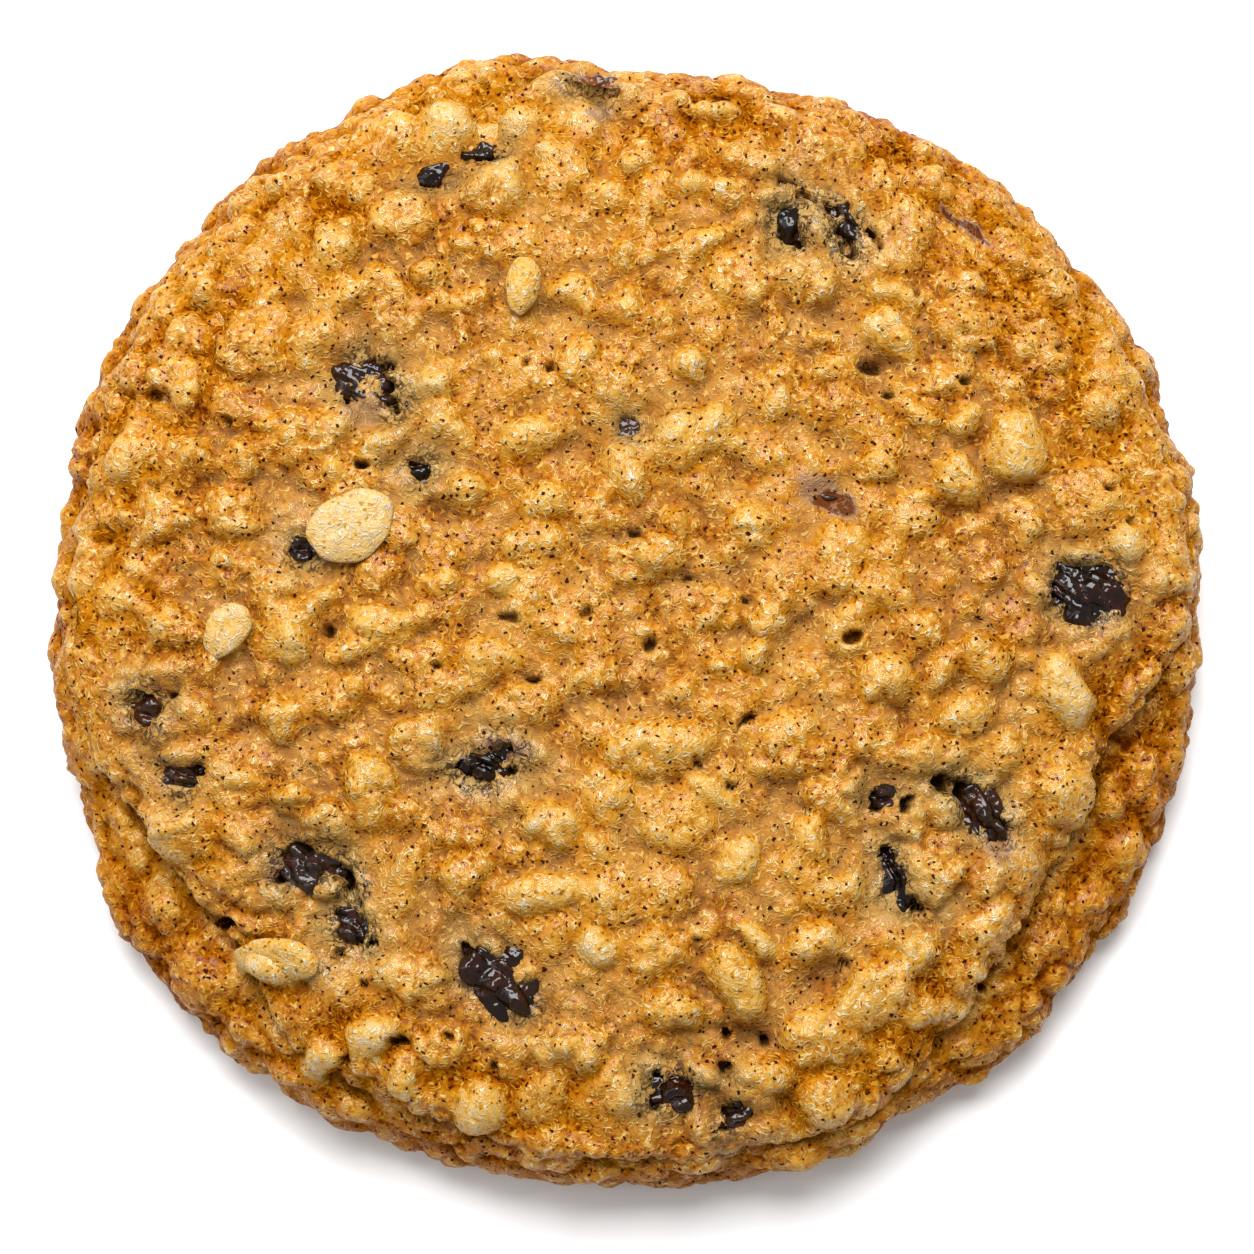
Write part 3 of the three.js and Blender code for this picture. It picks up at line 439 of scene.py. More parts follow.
# A layer of pillows round scattered points is the size of a cell, how much of it the rounding takes, height and
# salt. A push is how far points move, the size of the noise that moves them, and its salt. Other noises are size,
# octaves and salt, or size and salt. The stain round a window reaches "wide" further out than the window.
doughDetail = {
    "broad": (5.6, 1.3, 0.95, 61), "lump": (2.9, 0.95, 0.52, 71), "small": (1.25, 0.5, 0.1, 81),
    "grain": (0.7, 0.7, 0.03, 91), "level": 0.7, "pushes": [(0.8, 4.2, 31), (0.3, 1.5, 41)],
    "tears": [(0.5, 1.3, 51), (0.35, 0.6, 54)], "fineHeight": 0.04, "fine": (0.9, 2, 77), "swell": 0.45,
    "swells": (9, 197), "knobbly": (7, 191), "patch": (2.1, 3, 171), "browned": (9, 2, 181), "blend": 5.0,
    "floorRise": 0.2, "rimRise": 0.3, "sunk": 0.25, "lift": 1.05, "dip": 0.8, "strand": (1.2, 57),
    "windowDepth": 2.3, "settle": 0.97, "settleRim": 1.18, "wide": 1.8, "throughDeep": 30, "oatKnobs": 0.85,
    "rimHeights": (9.5, 6.5), "floorFade": (0.3, 2.7), "thinRim": (45.5, 42.5),
}

# How far from its middle each kind of mark is looked for, in millimetres, and the squared distances, 1 on its
# edge, at which it starts and is full.
markReach = {"mound": 7, "knob": 4, "window": 9, "dip": 12, "nub": 4, "pit": 4}
markEdge = {"oat": (1.15, 0.6), "window": (1.15, 0.6), "film": (1.6, 0.3), "nub": (1.1, 0.85), "pit": (1.2, 0.2)}


def bentPoints(points, strength, size, salt):
    # Points pushed about by soft noise, so that no lump keeps an even outline.
    return points + strength * np.stack([softNoise(points, size, salt + k) for k in range(3)], axis=1)


def nearTo(points, at, kind):
    # Which points lie near enough in the plan for a mark of this kind to touch them.
    return (abs(points[:, 0] - at[0]) < markReach[kind]) & (abs(points[:, 1] - at[1]) < markReach[kind])


def raiseTo(values, near, others):
    values[near] = np.maximum(values[near], others)


def pillows(points, layer):
    # Cells round scattered points, 0 in the creases between them and rounding up to 1, by the gap between
    # the distances to the nearest and the second nearest point.
    size, rounding, _, salt = layer
    nearest, second = pebbles(points, size, salt)
    return 1 - (1 - np.minimum((second - nearest) / rounding, 1)) ** 2


def domesOf(points, bent, rimShare, broad):
    # The mounds and broad domes, merged by the logarithm of their summed exponentials, with the knobs on top,
    # and how pale the oat flakes make them.
    detail, pale = doughDetail, np.zeros(len(points))
    under = detail["floorRise"] + detail["rimRise"] * rimShare + detail["broad"][2] * broad
    total = np.exp(detail["blend"] * under)
    for number, one in enumerate(mounds):
        near = nearTo(points, one, "mound")
        far = reach(one, bent[near])
        lift = detail["lift"] * one[8] + detail["floorRise"] + detail["sunk"]
        lift = lift * np.sqrt(np.maximum(0, 1 - far)) - detail["sunk"]
        total[near] += np.exp(detail["blend"] * lift) * (far < 1)
        if number < len(flakes):
            raiseTo(pale, near, flakes[number][6] * smoothStep(*markEdge["oat"], far))
    knob = np.zeros(len(points))
    for one in knobs:
        near = nearTo(points, one, "knob")
        raiseTo(knob, near, one[8] * np.sqrt(np.maximum(0, 1 - reach(one, bent[near]))))
    return np.log(total) / detail["blend"] + knob * (1 - detail["oatKnobs"] * pale), pale


def raisinMarks(points, bent, ragged, over):
    # Where the dough is open over a raisin, stained round it, or thin enough to show its colour.
    window, stain, film = (np.zeros(len(points)) for _ in range(3))
    strands = smoothStep(0.28, 0.1, abs(softNoise(ragged, *doughDetail["strand"])))
    deep, wide = doughDetail["throughDeep"], doughDetail["wide"]
    for x, y, length, width, direction, covered in windows:
        near = nearTo(points, (x, y), "window")
        far = reach(mound((x, y, length, width, direction, 1), deep), ragged[near])
        raiseTo(window, near, smoothStep(*markEdge["window"], far) * (1 - (0.25 + 0.75 * covered) * strands[near]))
        around = reach(mound((x, y, length + wide, width + wide, direction, 1), deep), bent[near])
        raiseTo(stain, near, np.exp(-0.9 * around) * min(1, 0.45 + length * width / 2))
    for x, y, length, width, direction, strength in films:
        near = nearTo(points, (x, y), "window")
        far = reach(mound((x, y, length, width, direction, 1), deep), ragged[near])
        raiseTo(film, near, strength * smoothStep(*markEdge["film"], far))
    return window * (1 - over), stain, film


def reliefOf(points):
    # How far the dough stands off its bare surface, and the masks that its colour uses: the domes less the
    # dips, the holes and the windows, plus layers of finer pillows.
    detail, bent = doughDetail, points
    for push in detail["pushes"]:
        bent = bentPoints(bent, *push)
    torn = bentPoints(points, *detail["tears"][0])
    ragged = bentPoints(torn, *detail["tears"][1])
    rimShare = smoothStep(*detail["rimHeights"], points[:, 2])
    broad, lump, small, grain = (pillows(bent, detail[key]) for key in ("broad", "lump", "small", "grain"))
    rise, pale = domesOf(points, bent, rimShare, broad)
    dip, over, hole = (np.zeros(len(points)) for _ in range(3))
    for one in sinks + raisinSinks:
        near = nearTo(points, one, "dip")
        dip[near] += detail["dip"] * one[8] * np.exp(-dough["fallOff"] * reach(one, bent[near]))
    for row in nubs:
        near = nearTo(points, row, "nub")
        far = reach(mound(row, 5), bent[near])
        raiseTo(rise, near, 0.3 + row[5] * np.maximum(0, 1 - far) ** 0.6 - (far > 1))
        raiseTo(over, near, smoothStep(*markEdge["nub"], far))
    for row in pits:
        near = nearTo(points, row, "pit")
        raiseTo(hole, near, row[5] * smoothStep(*markEdge["pit"], reach(mound(row, 4), torn[near])))
    window, stain, film = raisinMarks(points, bent, ragged, over)
    knobbly = 0.35 + 0.9 * smoothStep(-0.5, 0.5, softNoise(points, *detail["knobbly"]))
    level = detail["level"]
    fine = detail["lump"][2] * (lump - level) * knobbly * (1 - 0.75 * pale)
    fine += detail["small"][2] * (small - level) * (0.5 + 0.5 * knobbly) * (1 - 0.75 * pale)
    fine += detail["grain"][2] * (grain - level) * (1 - 0.5 * pale) * (1 - 0.5 * rimShare)
    fine += detail["fineHeight"] * roughNoise(points, *detail["fine"])
    fine += detail["swell"] * softNoise(points, *detail["swells"])
    shallow = 0.4 + 0.6 * smoothStep(*detail["thinRim"], np.hypot(*points.T[:2]))
    total = rise - dip + fine - hole - detail["windowDepth"] * window * shallow
    total -= detail["settle"] + (detail["settleRim"] - detail["settle"]) * rimShare
    total *= smoothStep(*detail["floorFade"], points[:, 2])
    # The tone paints shade low in the creases between pillows and in low places, and paints light on the lump
    # tops.
    tone = 0.35 * smoothStep(0.2, 2.2, rise - dip) + 0.3 * lump + 0.2 * small + 0.15 * grain
    return total, {
        "tone": tone, "rim": rimShare, "pale": pale, "stain": stain * (1 - 0.5 * pale), "film": film,
        "patch": 0.5 + 0.5 * roughNoise(points, *detail["patch"]), "knob": np.clip(knobbly / 1.25, 0, 1),
        "browned": 0.5 + 0.5 * roughNoise(points, *detail["browned"]) + 0.3 * rimShare,
        # The hole mask paints shade: pits and the pockets round the raisins are coloured near black.
        "hole": np.maximum(0.8 * smoothStep(0.5, 1.3, hole), window),
    }


def cavityOf(relief, shape, wrapped, width, depth):
    # How far each point lies under the average of its neighbours, as a share of the depth given.
    grid = relief.reshape(shape)
    for axis in (0, 1, 0, 1):
        mode = "wrap" if wrapped and axis == 1 else "edge"
        padded = np.pad(grid, [(width, width) if k == axis else (0, 0) for k in (0, 1)], mode=mode)
        total = np.cumsum(np.insert(padded, 0, 0, axis=axis), axis=axis)
        size = grid.shape[axis]
        upper = np.take(total, np.arange(size) + 2 * width + 1, axis=axis)
        grid = (upper - np.take(total, np.arange(size), axis=axis)) / (2 * width + 1)
    return np.clip((grid.ravel() - relief) / depth, -1, 1)


def addPiece(name, points, faces, masks=None):
    # points in millimetres round the middle of the outline; the piece rides on the one body.
    mesh = bpy.data.meshes.new(name)
    placedPoints = (points + np.array([*dough["shift"], 0])) * millimetre
    mesh.from_pydata(placedPoints, [], faces)
    for key, values in (masks or {}).items():
        mesh.attributes.new(key, "FLOAT", "POINT").data.foreach_set("value", values.astype(np.float32))
    mesh.polygons.foreach_set("use_smooth", np.ones(len(mesh.polygons), dtype=bool))
    mesh.validate()
    mesh.update()
    piece = bpy.data.objects.new(name, mesh)
    bpy.context.scene.collection.objects.link(piece)
    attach(piece, "root")
    print(name, len(points), "points", sum(len(face) - 2 for face in faces), "triangles")
    return piece


def asFaces(rows):
    return [tuple(face) for face in rows.tolist()]


def gridFaces(rows, columns, wrapped):
    # Quads of a grid of points, row by row, with the last column joined to the first if wrapped.
    r, c = np.meshgrid(np.arange(rows - 1), np.arange(columns if wrapped else columns - 1), indexing="ij")
    right = (c + 1) % columns
    quads = np.stack([r * columns + c, (r + 1) * columns + c, (r + 1) * columns + right, r * columns + right], -1)
    return quads.reshape(-1, 4)


def raised(bare, normals, fade, shape, wrapped, cavities):
    # Bare points moved out by the faded relief, with the mean cavity over two widths among the masks.
    relief, masks = reliefOf(bare)
    relief = relief * fade
    masks["cavity"] = 0.5 * sum(cavityOf(relief, shape, wrapped, width, depth) for width, depth in cavities)
    return bare + normals * relief[:, None], relief, masks


def withEnds(points, masks, ends):
    # The last points, which close a piece and carry no masks.
    return np.vstack([points, ends]), {key: np.append(values, [0.0] * len(ends)) for key, values in masks.items()}


# Cavities are taken over so many neighbours each way, against a depth in millimetres.
crustMesh = {
    "rings": 149, "tuck": (3.0, 0.5), "lid": 1.6, "topShare": 0.845, "probe": (0.004, 0.04), "fade": 0.985,
    "cavities": ((3, 0.4), (7, 0.9)), "low": (12, 1.2), "lowEnds": (42, 34),
}


def makeCrust():
    # A square grid bent to a disc: each square ring of cells becomes a circle. The share of the way out
    # picks a point on one run, over the top, round the crust's edge and in under it.
    n, size = crustMesh["rings"], 2 * crustMesh["rings"] + 1
    u, v = np.meshgrid(np.arange(-n, n + 1) / n, np.arange(-n, n + 1) / n, indexing="xy")
    wide = abs(u) >= abs(v)
    ring = np.maximum(abs(u), abs(v)).ravel()
    with np.errstate(divide="ignore", invalid="ignore"):
        eighth = np.nan_to_num(np.where(wide, v / u, u / v) / 8)
    turn = np.where(wide, np.where(u >= 0, 0, 0.5) + eighth, np.where(v >= 0, 0.25, 0.75) - eighth).ravel()
    rows = sectionPoints(turn)
    crust, crease = rows[3, 0], rows[4, 1]
    run = np.concatenate([rows[:5], [[crust - crustMesh["tuck"][0], crease - crustMesh["tuck"][1]]]])
    # Inside this share of the rings the run is the top, outside it is the edge.
    topShare = crustMesh["topShare"]
    share = np.minimum(ring / topShare, 1)
    place = np.maximum(ring - topShare, 0) / (1 - topShare) * 5

    def bare(shareValue, placeValue):
        return np.where(ring <= topShare, topPoint(turn, shareValue, rows[0]), along(run, placeValue))

    shareStep, placeStep = crustMesh["probe"]
    onBare = placed(turn, bare(share, place))
    inner = bare(np.maximum(share - shareStep, 0), np.maximum(place - placeStep, 0))
    normals = normalsOf(turn, inner, bare(share + shareStep, place + placeStep))
    normals[ring == 0] = (0, 0, 1)
    fade = smoothStep(1.0, crustMesh["fade"], ring)
    points, relief, masks = raised(onBare, normals, fade, (size, size), False, crustMesh["cavities"])
    masks["low"] = cavityOf(relief, (size, size), False, *crustMesh["low"])
    masks["low"] *= smoothStep(*crustMesh["lowEnds"], np.hypot(*onBare.T[:2]))
    index = np.arange(size * size).reshape(size, size)
    loop = np.concatenate([index[0, :-1], index[:-1, -1], index[-1, :0:-1], index[:0:-1, 0]])
    middle, lidHeight = len(points), dough["crustEdgeHeight"] - dough["creaseDrop"] - crustMesh["lid"]
    points, masks = withEnds(points, masks, [(0, 0, lidHeight)])
    lid = [(int(a), middle, int(b)) for a, b in zip(loop, np.roll(loop, -1))]
    return addPiece("crust", points, asFaces(gridFaces(size, size, False)[:, ::-1]) + lid, masks)


footMesh = {
    "round": 1400, "rows": 66, "inside": (3.4, 1.2), "probe": 0.04, "fade": 0.06, "lidHeight": 7.5,
    "cavities": ((4, 0.4), (9, 0.9)),
}


def makeFoot():
    # The section's run from inside the crease, down the terrace and round to the flat underside,
    # carried round the outline, and closed by a fan on each side.
    columns, rowCount = footMesh["round"], footMesh["rows"]
    turns, levels = np.arange(columns) / columns, np.linspace(0, 1, rowCount)
    rows = sectionPoints(turns)
    run = np.concatenate([[[rows[3, 0] - footMesh["inside"][0], rows[4, 1] + footMesh["inside"][1]]], rows[4:]])
    turn = np.tile(turns, rowCount)
    place = np.repeat(levels * (len(run) - 1), columns)
    wide = np.tile(run, (1, 1, rowCount))
    probe = footMesh["probe"]
    normals = normalsOf(turn, along(wide, np.maximum(place - probe, 0)), along(wide, place + probe))
    fade = smoothStep(0, footMesh["fade"], np.repeat(levels, columns))
    points, _, masks = raised(placed(turn, along(wide, place)), normals, fade, (rowCount, columns), True,
                              footMesh["cavities"])
    masks["low"] = np.zeros(len(points))
    points[:, 2] = np.maximum(points[:, 2], 0)
    top, bottom = len(points), len(points) + 1
    points, masks = withEnds(points, masks, [(0, 0, footMesh["lidHeight"]), (0, 0, 0)])
    here, onward = np.arange(columns), (np.arange(columns) + 1) % columns
    start = (rowCount - 1) * columns
    fans = [(top, int(a), int(b)) for a, b in zip(here, onward)]
    fans += [(bottom, int(start + b), int(start + a)) for a, b in zip(here, onward)]
    return addPiece("foot", points, asFaces(gridFaces(rowCount, columns, True)) + fans, masks)


def doughHeight(x, y):
    # Height of the solid's dough over a point of the plan.
    at = np.array([onCrust(x, y)])
    rise = max(one[8] * max(0, 1 - float(reach(one, at)[0])) ** 0.7 for one in mounds[:moundsInSolid])
    dip = sum(one[8] * math.exp(-dough["fallOff"] * float(reach(one, at)[0])) for one in sinks + raisinSinks)
    return at[0, 2] + rise - dip


def shellAngles(columns, rowCount):
    # Angle round and slope down from one end point to the other, for a closed shell of rings.
    angle = np.tile(np.arange(columns) / columns * 2 * math.pi, rowCount - 2)
    slope = np.repeat(np.linspace(0, math.pi, rowCount)[1:-1], columns)
    return np.concatenate([[0], angle, [0]]), np.concatenate([[0], slope, [math.pi]])


def shellFaces(columns, rowCount, start, turnedRound):
    # Quads between the rings and a fan round each end point.
    last = (rowCount - 2) * columns + 1
    here, onward, end = np.arange(columns), (np.arange(columns) + 1) % columns, np.zeros(columns, int)
    fans = [np.stack([end, 1 + here, 1 + onward], 1), np.stack([end, onward - columns, here - columns], 1) + last]
    faces = asFaces(gridFaces(rowCount - 2, columns, True) + 1 + start) + asFaces(np.concatenate(fans) + start)
    return [face[::-1] for face in faces] if turnedRound else faces


def turnedBy(direction, x, y):
    c, s = math.cos(math.radians(direction)), math.sin(math.radians(direction))
    return x * c - y * s, x * s + y * c


# A wave is its strength, how often it comes and how far each raisin shifts it; a wrinkle its strength, level,
# size and salt.
raisinMesh = {
    "round": 84, "long": 52, "depth": 2.1, "folds": (0.07, 5, 2.1), "dents": (0.05, 6, 1.7),
    "bend": (0.6, 1.6, 300), "stretch": (0.45, 1.3, 1.3), "longWrinkle": (1.1, 0.35, 1.1, 400),
    "crossWrinkle": (0.2, 0.35, 0.6, 440),
}

# By number: how amber and how grey the skin is, and how much lower the raisin lies.
raisinKinds = {
    1: (0.8, 0, 0.1), 2: (0, 0, 0.7), 3: (0, 0, 0.8), 4: (0, 0, 0.3), 5: (0.04, 0, 0.3), 6: (0, 0.5, 0.9),
    7: (0.03, 0.15, 0.3), 8: (0, 0, 0.5), 9: (0.1, 0.4, 0.4), 10: (0.2, 0.3, 1.0), 11: (0, 0.3, 0.2),
    12: (0.15, 0, 0.4), 13: (0.1, 0, 0.5), 14: (0, 0, 0.5), 15: (0.02, 0, 0), 16: (0.05, 0, 0.2), 17: (0, 0, 0.4),
    18: (0.03, 0.3, 0.3), 19: (0.03, 0.1, 0.6), 20: (0.04, 0, 0.2), 21: (0.03, 0, 0.3), 22: (0.06, 0, 0.6),
    23: (0, 0.3, 0.5),
}


def makeRaisins():
    # Each is an ellipsoid whose width and depth swell in lengthwise folds, with finer sharp-bottomed wrinkles.
    columns, rowCount = raisinMesh["round"], raisinMesh["long"]
    angle, slope = shellAngles(columns, rowCount)
    px, py, pz = -np.cos(slope), np.sin(slope) * np.cos(angle), np.sin(slope) * np.sin(angle)
    allPoints, allFaces, masks = [], [], {"amber": [], "grey": []}
    for index, (x, y, length, width, direction, out) in enumerate(raisins):
        deep = min(raisinMesh["depth"], width)
        (fold, folds, foldShift), (dent, dents, dentShift) = raisinMesh["folds"], raisinMesh["dents"]
        fold = 1 - fold * np.cos(folds * np.arctan2(pz, py) + foldShift * px + index)
        dent = 1 - dent * np.sin(dents * px + dentShift * index)
        at = np.stack([px * length, py * width, pz * deep], axis=1)
        strength, size, salt = raisinMesh["bend"]
        bent = bentPoints(at, strength, size, salt + 3 * index)
        wrinkle = 0
        for key, stretch in (("longWrinkle", raisinMesh["stretch"]), ("crossWrinkle", 1)):
            strength, level, size, salt = raisinMesh[key]
            wrinkle = wrinkle + strength * (abs(softNoise(bent * stretch, size, salt + index)) - level)
        at = np.stack([px * length * dent, py * width * fold, pz * deep * fold], axis=1)
        at += wrinkle[:, None] * np.stack([px, py, pz], axis=1)
        amber, grey, lower = raisinKinds[index + 1]
        turned = np.stack([*turnedBy(direction, at[:, 0], at[:, 1]), at[:, 2]], axis=1)
        allPoints.append(turned + np.array([x, y, doughHeight(x, y) + out - deep - lower]))
        allFaces += shellFaces(columns, rowCount, index * len(at), True)
        masks["amber"].append(np.full(len(at), amber, dtype=float))
        masks["grey"].append(np.full(len(at), grey, dtype=float))
    masks = {key: np.concatenate(values) for key, values in masks.items()}
    return addPiece("raisins", np.vstack(allPoints), allFaces, masks)


# Flakes with a free edge: number in the table of flakes, then tilt across and along in degrees. The outline's
# waves are strength, how many round, and how far each flake shifts them.
oatMesh = {
    "round": 64, "section": 34, "halfThickness": 0.42, "groove": (0.1, 0.16), "sag": (0.28, 1.3),
    "waves": [(0.05, 2, 1), (0.04, 3, 2.3), (0.02, 7, 1.7)], "swelling": (0.25, 1.4, 210),
    "bumps": (0.09, 0.9, 211), "sunk": 0.3, "browned": 0.4,
    "shown": [(0, 3, -2), (2, -4, 3), (18, 8, 0), (24, 4, 4)],
}


def crustHeight(x, y):
    # Height of the bare crust under points of the plan.
    turn = np.arctan2(y, x) / (2 * math.pi)
    rows = sectionPoints(turn)
    share = np.hypot(x, y) / rows[0, 0]
    pace, most = dough["turnDown"]
    top = topPoint(turn, np.minimum(share, 1), rows[0])[1]
    side = along(rows, np.clip((share - 1) * pace, 0, most) * dough["lastPoint"])[1]
    return np.where(share <= 1, top, side)


def makeOats():
    # A flat disc with a rounded rim: across it both the reach and the thickness follow the square root of
    # sine and cosine. It sags towards its rim, has a groove down its length and a slightly wavy outline.
    columns, rowCount = oatMesh["round"], oatMesh["section"]
    angle, slope = shellAngles(columns, rowCount)
    out = np.sqrt(np.abs(np.sin(slope)))
    level = np.sign(np.cos(slope)) * np.sqrt(np.abs(np.cos(slope)))
    (swelling, swellSize, swellSalt), (bumps, bumpSize, bumpSalt) = oatMesh["swelling"], oatMesh["bumps"]
    (groove, grooveWidth), (sag, sagPower) = oatMesh["groove"], oatMesh["sag"]
    allPoints, allFaces, paleness = [], [], []
    for order, (index, across, lengthwise) in enumerate(oatMesh["shown"]):
        x, y, length, width, direction, height, pale = flakes[index]
        outline = 1
        for strength, count, shift in oatMesh["waves"]:
            outline = outline + strength * np.sin(count * angle + shift * index)
        px, py = out * np.cos(angle) * outline, out * np.sin(angle) * outline
        flat = np.stack([px * length, py * width, level * 0.5 + index * 9.0], axis=1)
        pz = oatMesh["halfThickness"] * level * (1 + swelling * softNoise(flat, swellSize, swellSalt))
        pz += -sag * height * (px ** 2 + py ** 2) ** sagPower + bumps * softNoise(flat, bumpSize, bumpSalt)
        pz -= groove * np.exp(-(py / grooveWidth) ** 2) * (level > 0) * (1 - 0.5 * out)
        pz += px * length * math.sin(math.radians(lengthwise)) + py * width * math.sin(math.radians(across))
        dx, dy = turnedBy(direction, px * length, py * width)
        over = height - oatMesh["sunk"] - oatMesh["halfThickness"]
        allPoints.append(np.stack([x + dx, y + dy, crustHeight(x + dx, y + dy) + pz + over], axis=1))
        allFaces += shellFaces(columns, rowCount, order * len(px), False)
        paleness.append(np.full(len(px), pale))
    points, pale = np.vstack(allPoints), np.concatenate(paleness)
    masks = {"pale": pale, "tone": 0.7 + 0.7 * pale}
    masks["patch"] = 0.5 + 0.5 * roughNoise(points, *doughDetail["patch"])
    masks["browned"] = np.full(len(points), oatMesh["browned"])
    masks.update({key: np.zeros(len(points)) for key in ("cavity", "film", "rim", "stain", "hole", "low", "knob")})
    return addPiece("oats", points, allFaces, masks)


class Socket:
    # One output of a node. A sum written with it adds its Math node.
    def __init__(self, tree, out):
        self.tree, self.out = tree, out

    def math(self, operation, *values):
        return addNode(self.tree, "ShaderNodeMath", {"operation": operation}, dict(enumerate(values)))

    def __add__(self, other):
        return self.math("ADD", self, other)

    def __sub__(self, other):
        return self.math("SUBTRACT", self, other)

    def __rsub__(self, other):
        return self.math("SUBTRACT", other, self)

    def __mul__(self, other):
        return self.math("MULTIPLY", self, other)

    __radd__, __rmul__ = __add__, __mul__

    def sine(self):
        return self.math("SINE", self)

    def unsigned(self):
        return self.math("ABSOLUTE", self)

    def orMore(self, other):
        return self.math("MAXIMUM", self, other)

    def other(self, name):
        return Socket(self.tree, self.out.node.outputs[name])


def addNode(tree, kind, settings, values, output=0):
    node = tree.nodes.new(kind)
    for key, value in settings.items():
        if key == "stops":
            ramp = node.color_ramp.elements
            while len(ramp) < len(value):
                ramp.new(0.5)
            for stop, (place, colour) in zip(ramp, value):
                stop.position, stop.color = place, (*colour, 1)
        else:
            setattr(node, key, value)
    for key, value in values.items():
        if isinstance(value, Socket):
            tree.links.new(value.out, node.inputs[key])
        else:
            node.inputs[key].default_value = value
    return Socket(tree, node.outputs[output])


def newMaterial(name):
    material = bpy.data.materials.new(name)
    material.use_nodes = True
    tree = material.node_tree
    tree.nodes.clear()
    return material, tree


def finishMaterial(tree, values, dull=None):
    # Where dull is 1 the surface keeps its colour but has no gloss.
    shader = addNode(tree, "ShaderNodeBsdfPrincipled", {}, values)
    if dull:
        plain = addNode(tree, "ShaderNodeBsdfPrincipled", {}, {**values, "Specular IOR Level": 0.0})
        shader = addNode(tree, "ShaderNodeMixShader", {}, {0: dull, 1: shader, 2: plain})
    tree.links.new(shader.out, tree.nodes.new("ShaderNodeOutputMaterial").inputs["Surface"])


def masksOf(tree, *keys):
    return {key: addNode(tree, "ShaderNodeAttribute", {"attribute_name": key}, {}, "Fac") for key in keys}


def ease(value, low, high, toLow=0.0, toHigh=1.0):
    return addNode(value.tree, "ShaderNodeMapRange", {"interpolation_type": "SMOOTHSTEP"},
                   {"Value": value, "From Min": low, "From Max": high, "To Min": toLow, "To Max": toHigh})


def mixColour(factor, first, second):
    return addNode(factor.tree, "ShaderNodeMix", {"data_type": "RGBA"}, {"Factor": factor, 6: first, 7: second}, 2)


def noise(place, size, detail, rough=0.55, output=0):
    values = {"Vector": place, "Scale": 1 / (size * millimetre), "Detail": detail, "Roughness": rough}
    return addNode(place.tree, "ShaderNodeTexNoise", {}, values, output)


def pushed(place, size, strength):
    # The place moved about by soft noise, both in millimetres.
    push = noise(place, size, 0, output="Color")
    return addNode(place.tree, "ShaderNodeVectorMath", {"operation": "MULTIPLY_ADD"},
                   {0: push, 1: (strength * millimetre,) * 3, 2: place})


def cells(place, size, feature="F1"):
    return addNode(place.tree, "ShaderNodeTexVoronoi", {"feature": feature},
                   {"Vector": place, "Scale": 1 / (size * millimetre)}, "Distance")


def bumped(height, distance):
    return addNode(height.tree, "ShaderNodeBump", {},
                   {"Height": height, "Strength": 1.0, "Distance": distance * millimetre})


doughColours = {
    "tones": [(0.0, (0.08, 0.014, 0.0004)), (0.2, (0.24, 0.064, 0.001)), (0.4, (0.375, 0.146, 0.005)),
              (0.6, (0.475, 0.262, 0.041)), (0.78, (0.485, 0.34, 0.15)), (0.9, (0.485, 0.39, 0.265)),
              (1.0, (0.485, 0.43, 0.35))],
    "stain": (0.30, 0.195, 0.065, 1),
    "film": (0.075, 0.018, 0.006, 1),
    "filmPale": (0.30, 0.17, 0.09, 1),
    "valley": (0.36, 0.20, 0.060, 1),
    "valleyPale": (0.49, 0.345, 0.13, 1),
    "line": (0.035, 0.016, 0.006, 1),
    # Near black, as painted shade inside pinholes, pits and raisin pockets.
    "hole": (0.022, 0.006, 0.001, 1),
}


# Sizes in millimetres. A noise is size, detail and roughness. An ease names the values where it starts and ends,
# then what it gives there if that isn't 0 and 1.
doughMarks = {
    "push": (0.8, 1.3), "bend": (0.45, 0.45), "wander": (0.4, 1, 0.6), "swirl": (1.3, 1, 0.5), "turns": 46,
    "ridge": (0.1, 0.95), "breaks": (0.7, 0), "break": (0.42, 0.58), "puffs": 1.45, "puff": (0, 0.3),
    "spots": 0.64, "dimple": (0.12, 0.5), "dotSize": (0.15, 0.8, 0.05, 0.24), "dotEdge": (0.02, -0.02),
    "freckles": (0.5, 1, 0.6), "freckle": (0.56, 0.7), "strands": (0.9, 1, 0.5), "strand": (0.11, 0),
    "bump": 0.2, "heights": (0.35, 0.65), "gloss": (0.2, 0.8, 0.22, 0.12), "darkness": (0.98, 0.9),
    "matt": (0.6, 0.55, 0.2), "paleMarks": 0.6, "paleCreases": 0.5,
}

# How much each mark and each painted shade (of cavities, creases and dimples) moves the tone, and how much the rim
# and the pale oats calm the fine ones.
doughTone = {
    "base": 0.26, "tone": 0.12, "patch": 0.08, "cavity": 0.17, "browned": (0.3, 1.2, 0, 0.08), "pale": 0.16,
    "ridge": 0.3, "wander": 0.4, "freckle": 0.2, "dimple": 0.16, "crease": 0.16, "rim": 0.06,
    "calmRim": 0.35, "calmPale": 0.4,
}

# Where and how strongly the other colours come in, as eases.
doughCover = {
    "low": (0, 0.35), "lowPatch": (0.1, 0.7, 0.1, 0.42), "stain": (0.2, 0.7, 0.5, 1),
    "filmPale": (0.4, 0.9, 0.9, 0), "filmRidge": 0.3, "film": (0, 0.6, 0, 0.92), "line": (0.3, 0.75, 0, 0.95),
    "dullHollow": (-0.1, 0.4), "shinyRise": (0, -0.4, 0, 0.25),
}


